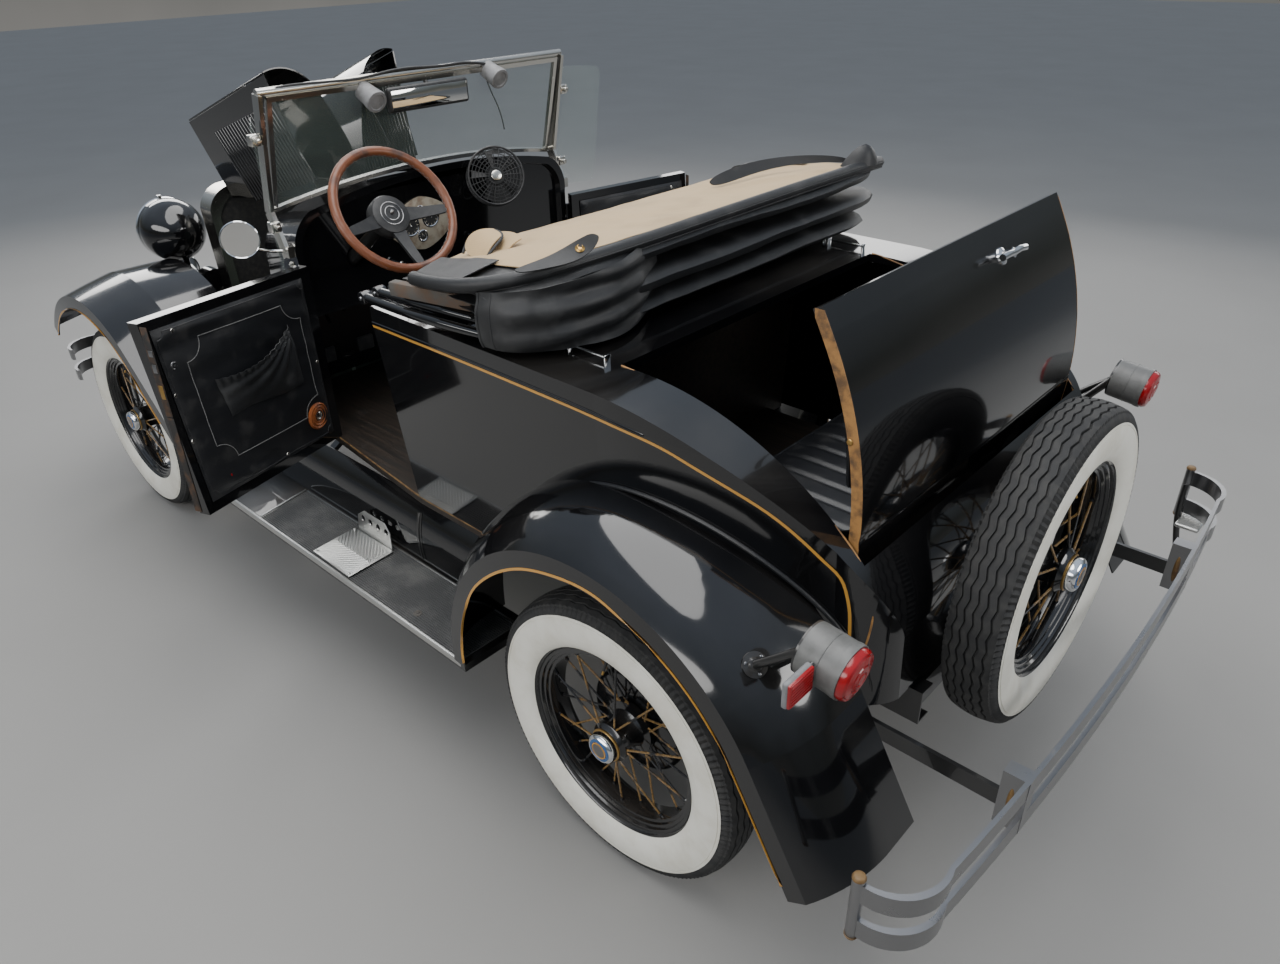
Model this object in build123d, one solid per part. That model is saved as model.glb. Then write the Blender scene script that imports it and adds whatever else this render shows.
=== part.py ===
from build123d import *
import os
from math import atan2, cos, degrees, hypot, pi, radians, sin, tan

# Two-seat roadster of the late 1920s with a rumble seat, in millimetres.
# +X is forward, +Y is the car's left, +Z is up, and the ground is z = 0.

os.makedirs("parts", exist_ok=True)

# Wheelbase, track and the place of the axles
wheelbase = 2629
track = 1422
rear_axle_x = -1125
front_axle_x = rear_axle_x + wheelbase

# Tyre and wire wheel
tyre_radius = 378
tyre_half_width = 67
tread_half_width = 48
bead_radius = 246
rim_radius = 262
rim_half_width = 54
rim_well_radius = 205
rim_wall = 6
hub_radius = 36
hub_reach = 85
hub_tail = 30
hub_bore = 17
spindle_radius = hub_bore - 0.4
drum_radius = 140
drum_depth = 38
drum_offset = 60
spoke_size = 6
spokes_per_row = 10
hub_height = tyre_radius
seat_gap = 0.3

# Ladder frame
rail_y = 350
rail_width = 46
rail_top = 590
rail_height = 90
rail_wall = 5
frame_rear_x = rear_axle_x - 560
frame_front_x = front_axle_x + 190
outrigger_places = (rear_axle_x + 700, rear_axle_x + 1150, rear_axle_x + 1650)

# Body, by the distance from the rear axle forward
hinge_x = rear_axle_x + 1450
hinge_half = 545
pillar_x = rear_axle_x + 905
body_half = 655
body_sill_half = body_half - 55
sill_top = 624
body_bottom = sill_top + seat_gap
deck_top = 1216
deck_start_x = rear_axle_x + 100
body_wall = 22
cockpit_rear_x = rear_axle_x + 480
tail_x = rear_axle_x - 543
bonnet_rear_x = rear_axle_x + 1890
bonnet_front_x = rear_axle_x + 2546

# Rumble lid: its half width, front edge and hidden hinge line
lid_half = 510
lid_gap = 6
lid_front_x = rear_axle_x + 150
lid_hinge_x = rear_axle_x - 295
lid_hinge_z = 934
lid_tail_radius = 176
lid_open = 61.5
lid_arm_y = 484
lid_pin = 6

# Doors
door_thickness = 34
door_bottom = 630
door_top = 1192
door_gap = 6
door_open = 68.6
hinge_barrel = 7
door_hinge_heights = (700, 910, 1120)
door_axis = (hinge_x - door_gap / 2, hinge_half + hinge_barrel - 2, 0)

# Bonnet halves and their louvred sides
bonnet_plate = 4
bonnet_rear_top = 1280
bonnet_rear_half = 429
bonnet_rear_side = 1086
bonnet_front_top = 1200
bonnet_front_half = 303
bonnet_front_side = 974
bonnet_bottom = 670
bonnet_rear_foot = 447
bonnet_front_foot = 306
bonnet_open_left = 79.0
bonnet_open_right = 84.5
side_swing_left = 96.7
side_swing_right = 88.0
bonnet_gap = 6
bonnet_side_gap = 24
bonnet_pin = 3

# Fenders and running boards
fender_outer = 840
fender_edge_radius = 455
fender_plate = 4
board_top = 410
board_thickness = 22
board_outer = fender_outer - 5
board_inner = body_sill_half + 8

# Windscreen
screen_x = rear_axle_x + 1538
screen_z = 1332
screen_half = 545
screen_height = 336
screen_lean = 15.4
screen_bar = 14
glass_thickness = 5


def block(x0, x1, y0, y1, z0, z1):
    """A box between two corners."""
    size = Box(abs(x1 - x0), abs(y1 - y0), abs(z1 - z0))
    return Pos((x0 + x1) / 2, (y0 + y1) / 2, (z0 + z1) / 2) * size


def rod(start, end, radius):
    """A round bar between two points."""
    a = Vector(*start)
    b = Vector(*end)
    plane = Plane(origin=a, z_dir=b - a)
    return extrude(plane * Circle(radius), amount=(b - a).length)


def bar(start, end, width, height, along=(0, 0, 1)):
    """A flat bar between two points, its height lying towards along."""
    a = Vector(*start)
    b = Vector(*end)
    side = Vector(*along).cross(b - a)
    plane = Plane(origin=a, x_dir=side, z_dir=b - a)
    return extrude(plane * Rectangle(width, height), amount=(b - a).length)


def side_plate(face, y0, y1):
    """An outline in X and Z, given thickness from y0 to y1."""
    plane = Plane(origin=(0, y1, 0), x_dir=(1, 0, 0), z_dir=(0, -1, 0))
    return extrude(plane * face, amount=y1 - y0)


def cross_plate(face, x0, x1):
    """An outline in Y and Z, given thickness from x0 to x1."""
    plane = Plane(origin=(x0, 0, 0), x_dir=(0, 1, 0), z_dir=(1, 0, 0))
    return extrude(plane * face, amount=x1 - x0)


def outline(points):
    """A closed face through straight-sided points."""
    return make_face(Polyline(*points, close=True))


def turned(points):
    """A ring about the Y axis from (radius, y) points."""
    return revolve(outline(points), axis=Axis.Y)


def other_side(shape):
    """The same piece on the right-hand side."""
    return mirror(shape, about=Plane.XZ)


def turn(shape, axis_point, axis_dir, angle):
    """The piece turned about a line."""
    return shape.rotate(Axis(axis_point, axis_dir), angle)


def largest(shape):
    """The main solid, without the slivers that a cut leaves at its corners."""
    return max(shape.solids(), key=lambda solid: solid.volume)


def one(shape):
    """The single solid of a shape that is in one piece."""
    found = shape.solids()
    return found[0] if len(found) == 1 else Compound(found)


# Wheels and tyres, drawn about the Y axis with the outer face towards +Y


def tyre():
    side_foot = 47
    foot_radius = rim_radius + 2
    belly_radius = 312
    shoulder = tyre_radius - 17
    lines = [
        Line((bead_radius, -side_foot), (bead_radius, side_foot)),
        Line((bead_radius, side_foot), (foot_radius, side_foot)),
        ThreePointArc((foot_radius, side_foot), (belly_radius, tyre_half_width), (shoulder, tread_half_width)),
        ThreePointArc((shoulder, tread_half_width), (tyre_radius, 0), (shoulder, -tread_half_width)),
        ThreePointArc((shoulder, -tread_half_width), (belly_radius, -tyre_half_width), (foot_radius, -side_foot)),
        Line((foot_radius, -side_foot), (bead_radius, -side_foot)),
    ]
    return revolve(make_face(lines), axis=Axis.Y)


def rim():
    seat = bead_radius - seat_gap
    flange_in = 47 + seat_gap
    half = [
        (rim_radius, rim_half_width),
        (rim_radius, flange_in),
        (seat, flange_in),
        (seat, 36),
        (rim_well_radius + rim_wall, 26),
    ]
    inner = [
        (rim_well_radius, 30),
        (seat - rim_wall, 41),
        (seat - rim_wall, rim_half_width - 3),
        (rim_radius - rim_wall, rim_half_width),
    ]
    upper = half + [(r, -y) for r, y in reversed(half)]
    lower = [(r, -y) for r, y in reversed(inner)] + inner
    return turned(upper + lower)


def hub():
    flange_out = 46
    flange_in = 74
    barrel = hub_radius - 4
    return turned([
        (hub_bore, -hub_tail), (flange_in, -hub_tail), (flange_in, -22), (barrel, -14), (barrel, 34),
        (flange_out, 38), (flange_out, 44), (hub_radius, 48), (hub_radius, 66),
        (hub_radius - 7, hub_reach - 4), (hub_radius - 12, hub_reach), (0, hub_reach),
        (0, hub_reach - 6), (hub_bore, hub_reach - 6),
    ])


def spokes():
    rim_end = rim_well_radius + 2
    rows = [
        # hub radius, hub y, rim y, lead angle in degrees, first angle
        (hub_radius + 6, 41, 10, 16, 0),
        (70, -26, -8, 13, 9),
        (70, -26, -14, -13, 27),
    ]
    made = []
    for hub_r, hub_y, rim_y, lead, first in rows:
        for count in range(spokes_per_row):
            side = lead if count % 2 == 0 else -lead
            a = radians(first + count * 360 / spokes_per_row)
            b = a + radians(side)
            start = (hub_r * cos(a), hub_y, hub_r * sin(a))
            end = (rim_end * cos(b), rim_y, rim_end * sin(b))
            made.append(bar(start, end, spoke_size, spoke_size, along=(0, 1, 0)))
    return made


def drum():
    return turned([
        (hub_bore, -hub_tail - seat_gap), (drum_radius - 8, -hub_tail - seat_gap), (drum_radius, -36),
        (drum_radius, -drum_offset), (drum_radius - 6, -drum_offset), (drum_radius - 6, -38), (hub_bore, -38),
    ])


spare_master = rim().fuse(hub(), *spokes())
wheel_master = spare_master + Pos(0, seat_gap, 0) * drum()
tyre_master = tyre()


def set_wheel(shape, x, side):
    """A wheel or tyre put at its hub, its outer face away from the car."""
    facing = shape if side > 0 else mirror(shape, about=Plane.XZ)
    return Pos(x, side * track / 2, hub_height) * facing


# Spare wheel at the tail, its outer face to the rear
spare_x = rear_axle_x - 642
spare_z = 788


def set_spare(shape):
    return Pos(spare_x, 0, spare_z) * (Rot(0, 0, 90) * shape)


# Frame


def frame_rails():
    rail = block(frame_rear_x, frame_front_x, rail_y - rail_width, rail_y, rail_top - rail_height, rail_top)
    hollow = block(
        frame_rear_x - 1, frame_front_x + 1, rail_y - rail_width - 1, rail_y - rail_wall,
        rail_top - rail_height + rail_wall, rail_top - rail_wall,
    )
    channel = rail - hollow
    members = [
        # rear edge, width, underside
        (frame_rear_x + 20, 60, 510),
        (rear_axle_x + 90, 70, 524),
        (rear_axle_x + 760, 60, 510),
        (rear_axle_x + 1350, 60, 550),
        (front_axle_x, 80, 510),
    ]
    shape = channel + other_side(channel)
    for x, width, low in members:
        reach = rail_y - rail_wall
        shape += block(x, x + width, -reach, reach, low, rail_top - 8)
        shape -= block(x + 5, x + width - 5, 6 - reach, reach - 6, low - 1, rail_top - 13)
    for x, eye_z, _ in spring_places:
        shape += block(x - 30, x + 30, -60, 60, eye_z + spring_rise + seat_gap, rail_top - 12)
    hanger_x = rear_axle_x + 790
    shape += block(hanger_x - 10, hanger_x + 10, exhaust_y - 8, exhaust_y + 8,
                   exhaust_z + exhaust_radius + seat_gap, rail_top - 12)
    for side in (1, -1):
        for x in outrigger_places:
            foot_z = board_top - board_thickness - seat_gap
            shape += bar((x, side * (rail_y - 4), 530), (x, side * 596, foot_z - 8), 16, 30, along=(1, 0, 0))
            shape += block(x - 15, x + 15, side * 590, side * (board_outer - 20), foot_z - 16, foot_z)
        iron_end = rear_bumper_x + 66 + seat_gap
        shape += block(iron_end, rear_axle_x - 460, side * 490, side * 500, 560, 600)
        shape += block(rear_axle_x - 480, rear_axle_x - 460, side * (rail_y - 4), side * 500, 560, 588)
        shape += block(frame_front_x - 6, front_bumper_x - 60 - seat_gap, side * 336, side * 347, 510, 560)
    return shape


# Axles

kingpin_y = 640
eye_radius = 24
eye_half = 26
pin_radius = 10


def front_axle():
    beam_half = kingpin_y - 20
    beam = block(front_axle_x - 20, front_axle_x + 20, -beam_half, beam_half, hub_height - 22, hub_height + 18)
    shape = beam
    for side in (1, -1):
        eye = Pos(front_axle_x, side * kingpin_y, hub_height) * Cylinder(eye_radius, 2 * eye_half)
        shape += eye
    for side in (1, -1):
        shape -= Pos(front_axle_x, side * kingpin_y, hub_height) * Cylinder(pin_radius + 0.5, 4 * eye_half)
        shape += rod((front_axle_x - 14, side * 440, hub_height), (rear_axle_x + 1290, side * 22, 400), 14)
        x, eye_z, half = spring_places[0]
        shape += block(front_axle_x - 20, x + spring_half_width, side * (half - 20), side * (half + 12),
                       hub_height + 10, eye_z - seat_gap)
    return shape + Pos(rear_axle_x + 1285, 0, 400) * Sphere(40)


def knuckle():
    lug = 14
    low = hub_height - eye_half - 4 - lug
    high = hub_height + eye_half + 4
    web_y = kingpin_y + eye_radius + 5
    arm_z = low + lug / 2
    shape = Pos(front_axle_x, kingpin_y, (low + high + lug) / 2) * Cylinder(pin_radius, high + lug - low)
    for z in (low, high):
        shape += Pos(front_axle_x, kingpin_y, z + lug / 2) * Cylinder(eye_radius, lug)
        shape += block(front_axle_x - 18, front_axle_x + 18, kingpin_y, web_y + 4, z, z + lug)
    shape += block(front_axle_x - 18, front_axle_x + 18, web_y, web_y + 4, low, high + lug)
    shape += rod((front_axle_x, web_y, hub_height), (front_axle_x, track / 2 + hub_reach - 12, hub_height),
                 spindle_radius)
    shape += rod((front_axle_x, web_y, hub_height), (front_axle_x, web_y + 4, hub_height), drum_radius - 9)
    elbow = (front_axle_x - tie_arm + 50, kingpin_y - 14, arm_z)
    shape += bar((front_axle_x, kingpin_y, arm_z), elbow, 20, lug)
    shape += bar(elbow, (front_axle_x - tie_arm, kingpin_y, arm_z), 20, lug)
    shape += Pos(*elbow) * Cylinder(10, lug)
    shape += Pos(front_axle_x - tie_arm, kingpin_y, arm_z) * Cylinder(15, lug)
    stud = tie_drop + 18
    shape += Pos(front_axle_x - tie_arm, kingpin_y, low - stud / 2) * Cylinder(6, stud)
    return shape


tie_arm = 165
tie_drop = 8


def track_rod():
    top = hub_height - eye_half - 4 - 14 - tie_drop
    length = 2 * kingpin_y
    x = front_axle_x - tie_arm
    z = top - 9
    shape = rod((x, -length / 2 + 16, z), (x, length / 2 - 16, z), 9)
    for side in (1, -1):
        shape += Pos(x, side * kingpin_y, z) * Cylinder(18, 18)
    for side in (1, -1):
        shape -= Pos(x, side * kingpin_y, z) * Cylinder(6.5, 40)
    return shape


def rear_axle():
    plate_y = track / 2 - drum_offset - 10
    shape = rod((rear_axle_x, -plate_y, hub_height), (rear_axle_x, plate_y, hub_height), 38)
    shape += Pos(rear_axle_x, 0, hub_height) * Sphere(115)
    shape += rod((rear_axle_x, 0, hub_height), (gearbox_rear_x - 3.4, 0, gearbox_z), 34)
    for side in (1, -1):
        shape += rod((rear_axle_x, side * (plate_y - 6), hub_height), (rear_axle_x, side * plate_y, hub_height),
                     drum_radius - 9)
        shape += rod((rear_axle_x, side * (plate_y - 20), hub_height),
                     (rear_axle_x, side * (track / 2 + hub_reach - 12), hub_height), spindle_radius)
        x, eye_z, half = spring_places[1]
        shape += block(rear_axle_x, x + spring_half_width, side * (half - 15), side * (half + 12),
                       hub_height + 18, eye_z - seat_gap)
        shape += rod((rear_axle_x, side * 520, 352), (rear_axle_x + 1100, side * 20, 446), 13)
    return shape


spring_places = (
    # middle, height of the arch's ends above the ground, half length
    (front_axle_x + 40, 410, 420),
    (rear_axle_x + 125, 424, 560),
)
spring_rise = 98
spring_half_width = 28


def leaf_springs():
    shapes = []
    for x, eye_z, half in spring_places:
        arch = make_face([
            ThreePointArc((-half, 8), (0, spring_rise), (half, 8)),
            Line((half, 8), (half, 0)),
            ThreePointArc((half, 0), (0, spring_rise - 40), (-half, 0)),
            Line((-half, 0), (-half, 8)),
        ])
        shapes.append(Pos(0, 0, eye_z) * cross_plate(arch, x - spring_half_width, x + spring_half_width))
    return Compound([s.solids()[0] for s in shapes])


# Engine and gearbox as one plain mass


gearbox_rear_x = rear_axle_x + 1440
gearbox_z = 510
engine_half = 130


def engine():
    block_rear = rear_axle_x + 1985
    block_front = rear_axle_x + 2470
    bell_rear = bonnet_rear_x + 6
    shape = block(block_rear, block_front, -engine_half, engine_half, 430, 900)
    shape += block(block_rear + 20, block_front - 20, -95, 95, 900, 960)
    shape += block(bell_rear, block_rear, -180, 180, 430, 790)
    shape += block(bell_rear + 30, bell_rear + 80, -rail_y + 10, rail_y - 10, rail_top + seat_gap, rail_top + 22)
    shape += block(gearbox_rear_x, bell_rear, -90, 90, gearbox_z - 80, gearbox_z + 80)
    shape += rod((block_front, 0, 620), (block_front + 40, 0, 620), 60)
    return shape


exhaust_y = -260
exhaust_z = 440
exhaust_radius = 22
tail_sleeve = 90
tail_radius = 24


def exhaust():
    pipe = exhaust_radius
    shape = None
    port_x = rear_axle_x + 2250
    sleeve_x = rear_axle_x - 480
    route = [
        (port_x, -engine_half - seat_gap, 760), (port_x, -185, 760), (rear_axle_x + 2200, -235, 700),
        (rear_axle_x + 1850, -235, exhaust_z), (rear_axle_x + 1700, exhaust_y, exhaust_z),
        (sleeve_x + tail_sleeve / 2, exhaust_y, exhaust_z),
    ]
    for start, end in zip(route, route[1:]):
        run = rod(start, end, pipe)
        shape = run if shape is None else shape + run
    for bend in route[1:-1]:
        shape += Pos(*bend) * Sphere(pipe)
    muffler = rod((rear_axle_x + 1330, exhaust_y, exhaust_z), (rear_axle_x + 930, exhaust_y, exhaust_z), 58)
    sleeve = rod((sleeve_x, exhaust_y, exhaust_z), (sleeve_x + tail_sleeve, exhaust_y, exhaust_z), tail_radius)
    return shape + muffler + sleeve


# Radiator

radiator_x = rear_axle_x + 2566
radiator_depth = 88
radiator_half = 296
radiator_bottom = rail_top + seat_gap
radiator_top = 1214


def radiator_face(inset):
    half = radiator_half - inset
    low = radiator_bottom + inset
    top = radiator_top - inset
    shoulder = top - 96
    return make_face([
        Line((-half + 20, low), (half - 20, low)),
        Line((half - 20, low), (half, shoulder)),
        ThreePointArc((half, shoulder), (half - 34, top - 38), (half - 100, top - 12)),
        ThreePointArc((half - 100, top - 12), (0, top), (-half + 100, top - 12)),
        ThreePointArc((-half + 100, top - 12), (-half + 34, top - 38), (-half, shoulder)),
        Line((-half, shoulder), (-half + 20, low)),
    ])


def radiator_shell():
    shell = cross_plate(radiator_face(0), radiator_x, radiator_x + radiator_depth)
    shell -= cross_plate(radiator_face(34), radiator_x - 1, radiator_x + radiator_depth + 1)
    for side in (1, -1):
        shell += block(radiator_x + 50, radiator_x + radiator_depth, side * 100, side * 180,
                       rail_top - 8 + seat_gap, radiator_bottom + 10)
    shell += Pos(radiator_x + radiator_depth / 2, 0, radiator_top + 14) * Cylinder(30, 40)
    return shell


def radiator_core():
    return cross_plate(radiator_face(34 + seat_gap), radiator_x + 10, radiator_x + radiator_depth - 14)


# Body sections


def body_plan(half, inset):
    """The body seen from above, from the door pillar back to the tail."""
    front = half - inset
    back = tail_x - 2 + inset
    corner = 110
    tail_half = half - 80 - inset
    return make_face([
        Line((pillar_x, -front), (pillar_x, front)),
        Line((pillar_x, front), (deck_start_x, front + 3)),
        ThreePointArc((deck_start_x, front + 3), (rear_axle_x - 200, front - 16), (back + corner, tail_half)),
        ThreePointArc((back + corner, tail_half), (back + 26, tail_half - 44), (back, tail_half - 150)),
        Line((back, tail_half - 150), (back, -tail_half + 150)),
        ThreePointArc((back, -tail_half + 150), (back + 26, -tail_half + 44), (back + corner, -tail_half)),
        ThreePointArc((back + corner, -tail_half), (rear_axle_x - 200, -front + 16), (deck_start_x, -front - 3)),
        Line((deck_start_x, -front - 3), (pillar_x, -front)),
    ])


def body_side_view(inset):
    """The rear body seen from the side, with its deck curving down to the tail."""
    top = deck_top - inset
    tail = tail_x + inset
    knee = (rear_axle_x - 450 + inset * 0.6, 1000 - inset * 0.8)
    low = body_bottom - (1 if inset else 0)
    deck = Line((pillar_x + (1 if inset else 0), top), (deck_start_x, top))
    slope = TangentArc((deck_start_x, top), knee, tangent=(-1, 0))
    back = TangentArc(knee, (tail, 800), tangent=slope % 1)
    return make_face([
        deck,
        slope,
        back,
        Line((tail, 800), (tail, low)),
        Line((tail, low), (pillar_x + (1 if inset else 0), low)),
        Line((pillar_x + (1 if inset else 0), low), (pillar_x + (1 if inset else 0), top)),
    ])


def body_mass(inset):
    belt_z = 1165
    low = Pos(0, 0, body_bottom - 10) * body_plan(body_sill_half, inset)
    belt = Pos(0, 0, belt_z) * body_plan(body_half, inset)
    high = Pos(0, 0, deck_top + 30) * body_plan(body_half, inset)
    plan = loft([low, belt], ruled=True) + loft([belt, high], ruled=True)
    return plan & side_plate(body_side_view(inset), -900, 900)


body_outer = body_mass(0)
body_inner = body_mass(body_wall)
body_shell = body_outer - body_inner
body_shell -= block(cockpit_rear_x, pillar_x + 10, -body_half + 60, body_half - 60, 900, deck_top + 60)


def lid_zone(gap):
    """The space of the rumble opening, wider than the lid by the gap."""
    wide = lid_half + gap
    front = lid_front_x + gap
    zone = block(lid_hinge_x, front, -wide, wide, lid_hinge_z + 60, deck_top + 80)
    tail = Pos(lid_hinge_x, 0, lid_hinge_z) * (Rot(90, 0, 0) * Cylinder(lid_tail_radius + gap, 2 * wide))
    tail &= block(lid_hinge_x - 400, lid_hinge_x, -wide, wide, lid_hinge_z, deck_top + 80)
    return zone + tail


def rumble_lid_closed():
    return body_shell & lid_zone(0)


def rumble_lid():
    arm_face = outline([
        (lid_hinge_x - 16, lid_hinge_z - 16), (lid_hinge_x + 16, lid_hinge_z - 16),
        (lid_hinge_x + 16, deck_top), (lid_hinge_x - 16, deck_top),
    ])
    lid = rumble_lid_closed()
    for y in (-lid_arm_y, lid_arm_y):
        lid += side_plate(arm_face, y - 5, y + 5) & body_outer
        lid -= side_plate(Pos(lid_hinge_x, lid_hinge_z) * Circle(lid_pin + 0.5), y - 6, y + 6)
    return turn(largest(lid), (lid_hinge_x, 0, lid_hinge_z), (0, 1, 0), -lid_open)


def lid_posts():
    """Posts on the compartment's floor with the pins that the lid's arms turn on."""
    post_face = outline([
        (lid_hinge_x - 12, body_bottom + 4), (lid_hinge_x + 12, body_bottom + 4),
        (lid_hinge_x + 12, lid_hinge_z + 12), (lid_hinge_x - 12, lid_hinge_z + 12),
    ])
    left = side_plate(post_face, lid_arm_y + 7, lid_arm_y + 12)
    left += rod((lid_hinge_x, lid_arm_y - 9, lid_hinge_z), (lid_hinge_x, lid_arm_y + 9, lid_hinge_z), lid_pin)
    return left + other_side(left)


quarter_split = lid_half + lid_gap


def quarter_panel():
    side = body_shell & block(rear_axle_x - 700, pillar_x + 20, quarter_split, 900, 500, 1400)
    pillar = body_outer & block(pillar_x - 30, pillar_x, 560, 900, body_bottom, deck_top)
    return side + pillar


def rear_centre():
    middle = body_shell & block(rear_axle_x - 700, pillar_x + 20, -quarter_split, quarter_split, 500, 1400)
    sweep = side_plate(Pos(lid_hinge_x, lid_hinge_z) * Circle(lid_tail_radius + lid_gap), -lid_half, lid_half)
    return middle - lid_zone(lid_gap) - sweep


# Cowl, firewall and dash


def cowl_face(x, inset):
    share = (x - hinge_x) / (bonnet_rear_x - hinge_x)

    def between(rear, front):
        return rear + (front - rear) * share

    low = body_bottom
    sill = between(hinge_half, 446) - inset
    side = between(hinge_half, bonnet_rear_half) - inset
    side_z = between(1200, bonnet_rear_side)
    knee = between(530, 402) - inset
    knee_z = between(1285, 1190) - inset * 0.6
    edge = between(478, 325) - inset * 0.6
    edge_z = between(1333, 1236) - inset
    top = between(1385, bonnet_rear_top) - inset
    face = make_face([
        Line((-sill, low), (sill, low)),
        Line((sill, low), (side, side_z)),
        ThreePointArc((side, side_z), (knee, knee_z), (edge, edge_z)),
        ThreePointArc((edge, edge_z), (0, top), (-edge, edge_z)),
        ThreePointArc((-edge, edge_z), (-knee, knee_z), (-side, side_z)),
        Line((-side, side_z), (-sill, low)),
    ])
    plane = Plane(origin=(x, 0, 0), x_dir=(0, 1, 0), z_dir=(1, 0, 0))
    return plane * face


firewall = 12
cowl_outer = loft([cowl_face(hinge_x, 0), cowl_face(bonnet_rear_x, 0)], ruled=True)


def cowl_space(inset):
    faces = [cowl_face(hinge_x - 2, inset), cowl_face(bonnet_rear_x - firewall, inset)]
    return loft(faces, ruled=True)


def cowl():
    inner = cowl_space(body_wall)
    column_hole = rod(column_point(500), column_point(1100), column_radius + 6)
    shape = cowl_outer - inner - column_hole
    x, y, _ = door_axis
    for side in (1, -1):
        for z in door_hinge_heights:
            shape -= rod((x, side * y, z - 16), (x, side * y, z + 16), hinge_barrel + 1)
            shape += hinge_leaf(side, z, hinge_x + 30, 16, 34)
            shape += hinge_leaf(side, z, hinge_x + 30, -34, -16)
    return shape


def hinge_leaf(side, z, to_x, low, high):
    """A barrel on the door's axis and the leaf that holds it."""
    x, y, _ = door_axis
    barrel = rod((x, side * y, z + low), (x, side * y, z + high), hinge_barrel)
    leaf = block(x, to_x, side * (y - 2), side * (hinge_half - 12), z + low, z + high)
    return barrel + leaf


# Steering column and wheel

column_top = (rear_axle_x + 1205, 345, 1350)
column_angle = 35
column_radius = 20


def column_point(run):
    return (column_top[0] + run * cos(radians(column_angle)), column_top[1],
            column_top[2] - run * sin(radians(column_angle)))


def steering_column():
    shape = rod(column_point(boss_end + seat_gap), column_point(1000), column_radius)
    shape += rod(column_point(950), column_point(1020), 40)
    box_x, _, box_z = column_point(990)
    inner = rail_y - rail_width + 2
    return shape + block(box_x - 28, box_x + 28, inner, inner + 26, rail_top + seat_gap, box_z)


steering_radius = 193
boss_end = 56


def steering_wheel():
    plane = Plane(origin=column_point(0), z_dir=(cos(radians(column_angle)), 0, -sin(radians(column_angle))))
    grip = 14
    shape = Torus(steering_radius - grip, grip) + Pos(0, 0, boss_end - 18) * Cylinder(46, 36)
    for angle in (40, 160, 280):
        a = radians(angle)
        reach = steering_radius - grip
        shape += bar((30 * cos(a), 30 * sin(a), 34), (reach * cos(a), reach * sin(a), 2), 22, 8)
    return plane * shape


# Windscreen, drawn upright at the origin and then leaned back


def screen_face(inset):
    half = screen_half - inset
    top = screen_height - inset
    return make_face([
        ThreePointArc((-half, inset), (0, 50 + inset), (half, inset)),
        Line((half, inset), (half - 4, top)),
        Line((half - 4, top), (-half + 4, top)),
        Line((-half + 4, top), (-half, inset)),
    ])


def lean(shape):
    return Pos(screen_x, 0, screen_z) * (Rot(0, -screen_lean, 0) * shape)


def windscreen_frame():
    ring = cross_plate(screen_face(0), -screen_bar / 2, screen_bar / 2)
    ring -= cross_plate(screen_face(screen_bar), -screen_bar, screen_bar)
    shape = lean(ring)
    for side in (1, -1):
        y = side * (screen_half + 16)
        foot = block(hinge_x + 4, hinge_x + 44, side * 500, side * (screen_half + 22), 1212, 1244)
        shape += foot - cowl_outer
        shape += bar((hinge_x + 24, y, 1212), (screen_x - 10, y, screen_z + 4), 12, 36, along=(1, 0, 0))
        shape += bar((screen_x - 10, y, screen_z), (rear_axle_x + 1455, y, 1662), 12, 34, along=(1, 0, 0))
        shape += rod((screen_x - 10, side * (screen_half - 4), screen_z + 12),
                     (screen_x - 10, y, screen_z + 12), 7)
    shape += rod((rear_axle_x + 1456, -screen_half - 18, 1666), (rear_axle_x + 1456, screen_half + 18, 1666), 12)
    return shape


def windscreen_glass():
    face = screen_face(screen_bar + seat_gap)
    return lean(cross_plate(face, -glass_thickness / 2, glass_thickness / 2))


# Doors, drawn shut and then swung open


def door_plan(z, rear_half):
    front_x = hinge_x - door_gap
    rear_x = pillar_x + door_gap
    plan = outline([
        (front_x, hinge_half), (rear_x, rear_half),
        (rear_x, rear_half - door_thickness), (front_x, hinge_half - door_thickness),
    ])
    return Pos(0, 0, z) * plan


def door():
    slab = loft([door_plan(door_bottom, body_sill_half), door_plan(door_top, body_half)], ruled=True)
    x, y, _ = door_axis
    for z in door_hinge_heights:
        slab -= rod((x, y, z - 35), (x, y, z + 35), hinge_barrel + 1)
        slab += hinge_leaf(1, z, hinge_x - 34, -15.5, 15.5)
    return turn(slab, door_axis, (0, 0, 1), -door_open)


# Bonnet: each half is drawn shut, hung on its hinge lines and then raised

ridge_drop = bonnet_rear_top - bonnet_front_top
bonnet_run = bonnet_front_x - bonnet_rear_x
ridge_point = (bonnet_rear_x, 0, bonnet_rear_top)
ridge_dir = (bonnet_run, 0, -ridge_drop)
side_hinge_point = (bonnet_rear_x, bonnet_rear_half - bonnet_plate, bonnet_rear_side)
side_hinge_dir = (bonnet_run, bonnet_front_half - bonnet_rear_half, bonnet_front_side - bonnet_rear_side)


def bonnet_sizes(x):
    """Ridge height, half width, side height and foot of the bonnet at a station."""
    share = (x - bonnet_rear_x) / bonnet_run
    rear = (bonnet_rear_top, bonnet_rear_half, bonnet_rear_side, bonnet_rear_foot)
    front = (bonnet_front_top, bonnet_front_half, bonnet_front_side, bonnet_front_foot)
    return [a + (b - a) * share for a, b in zip(rear, front)]


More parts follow.
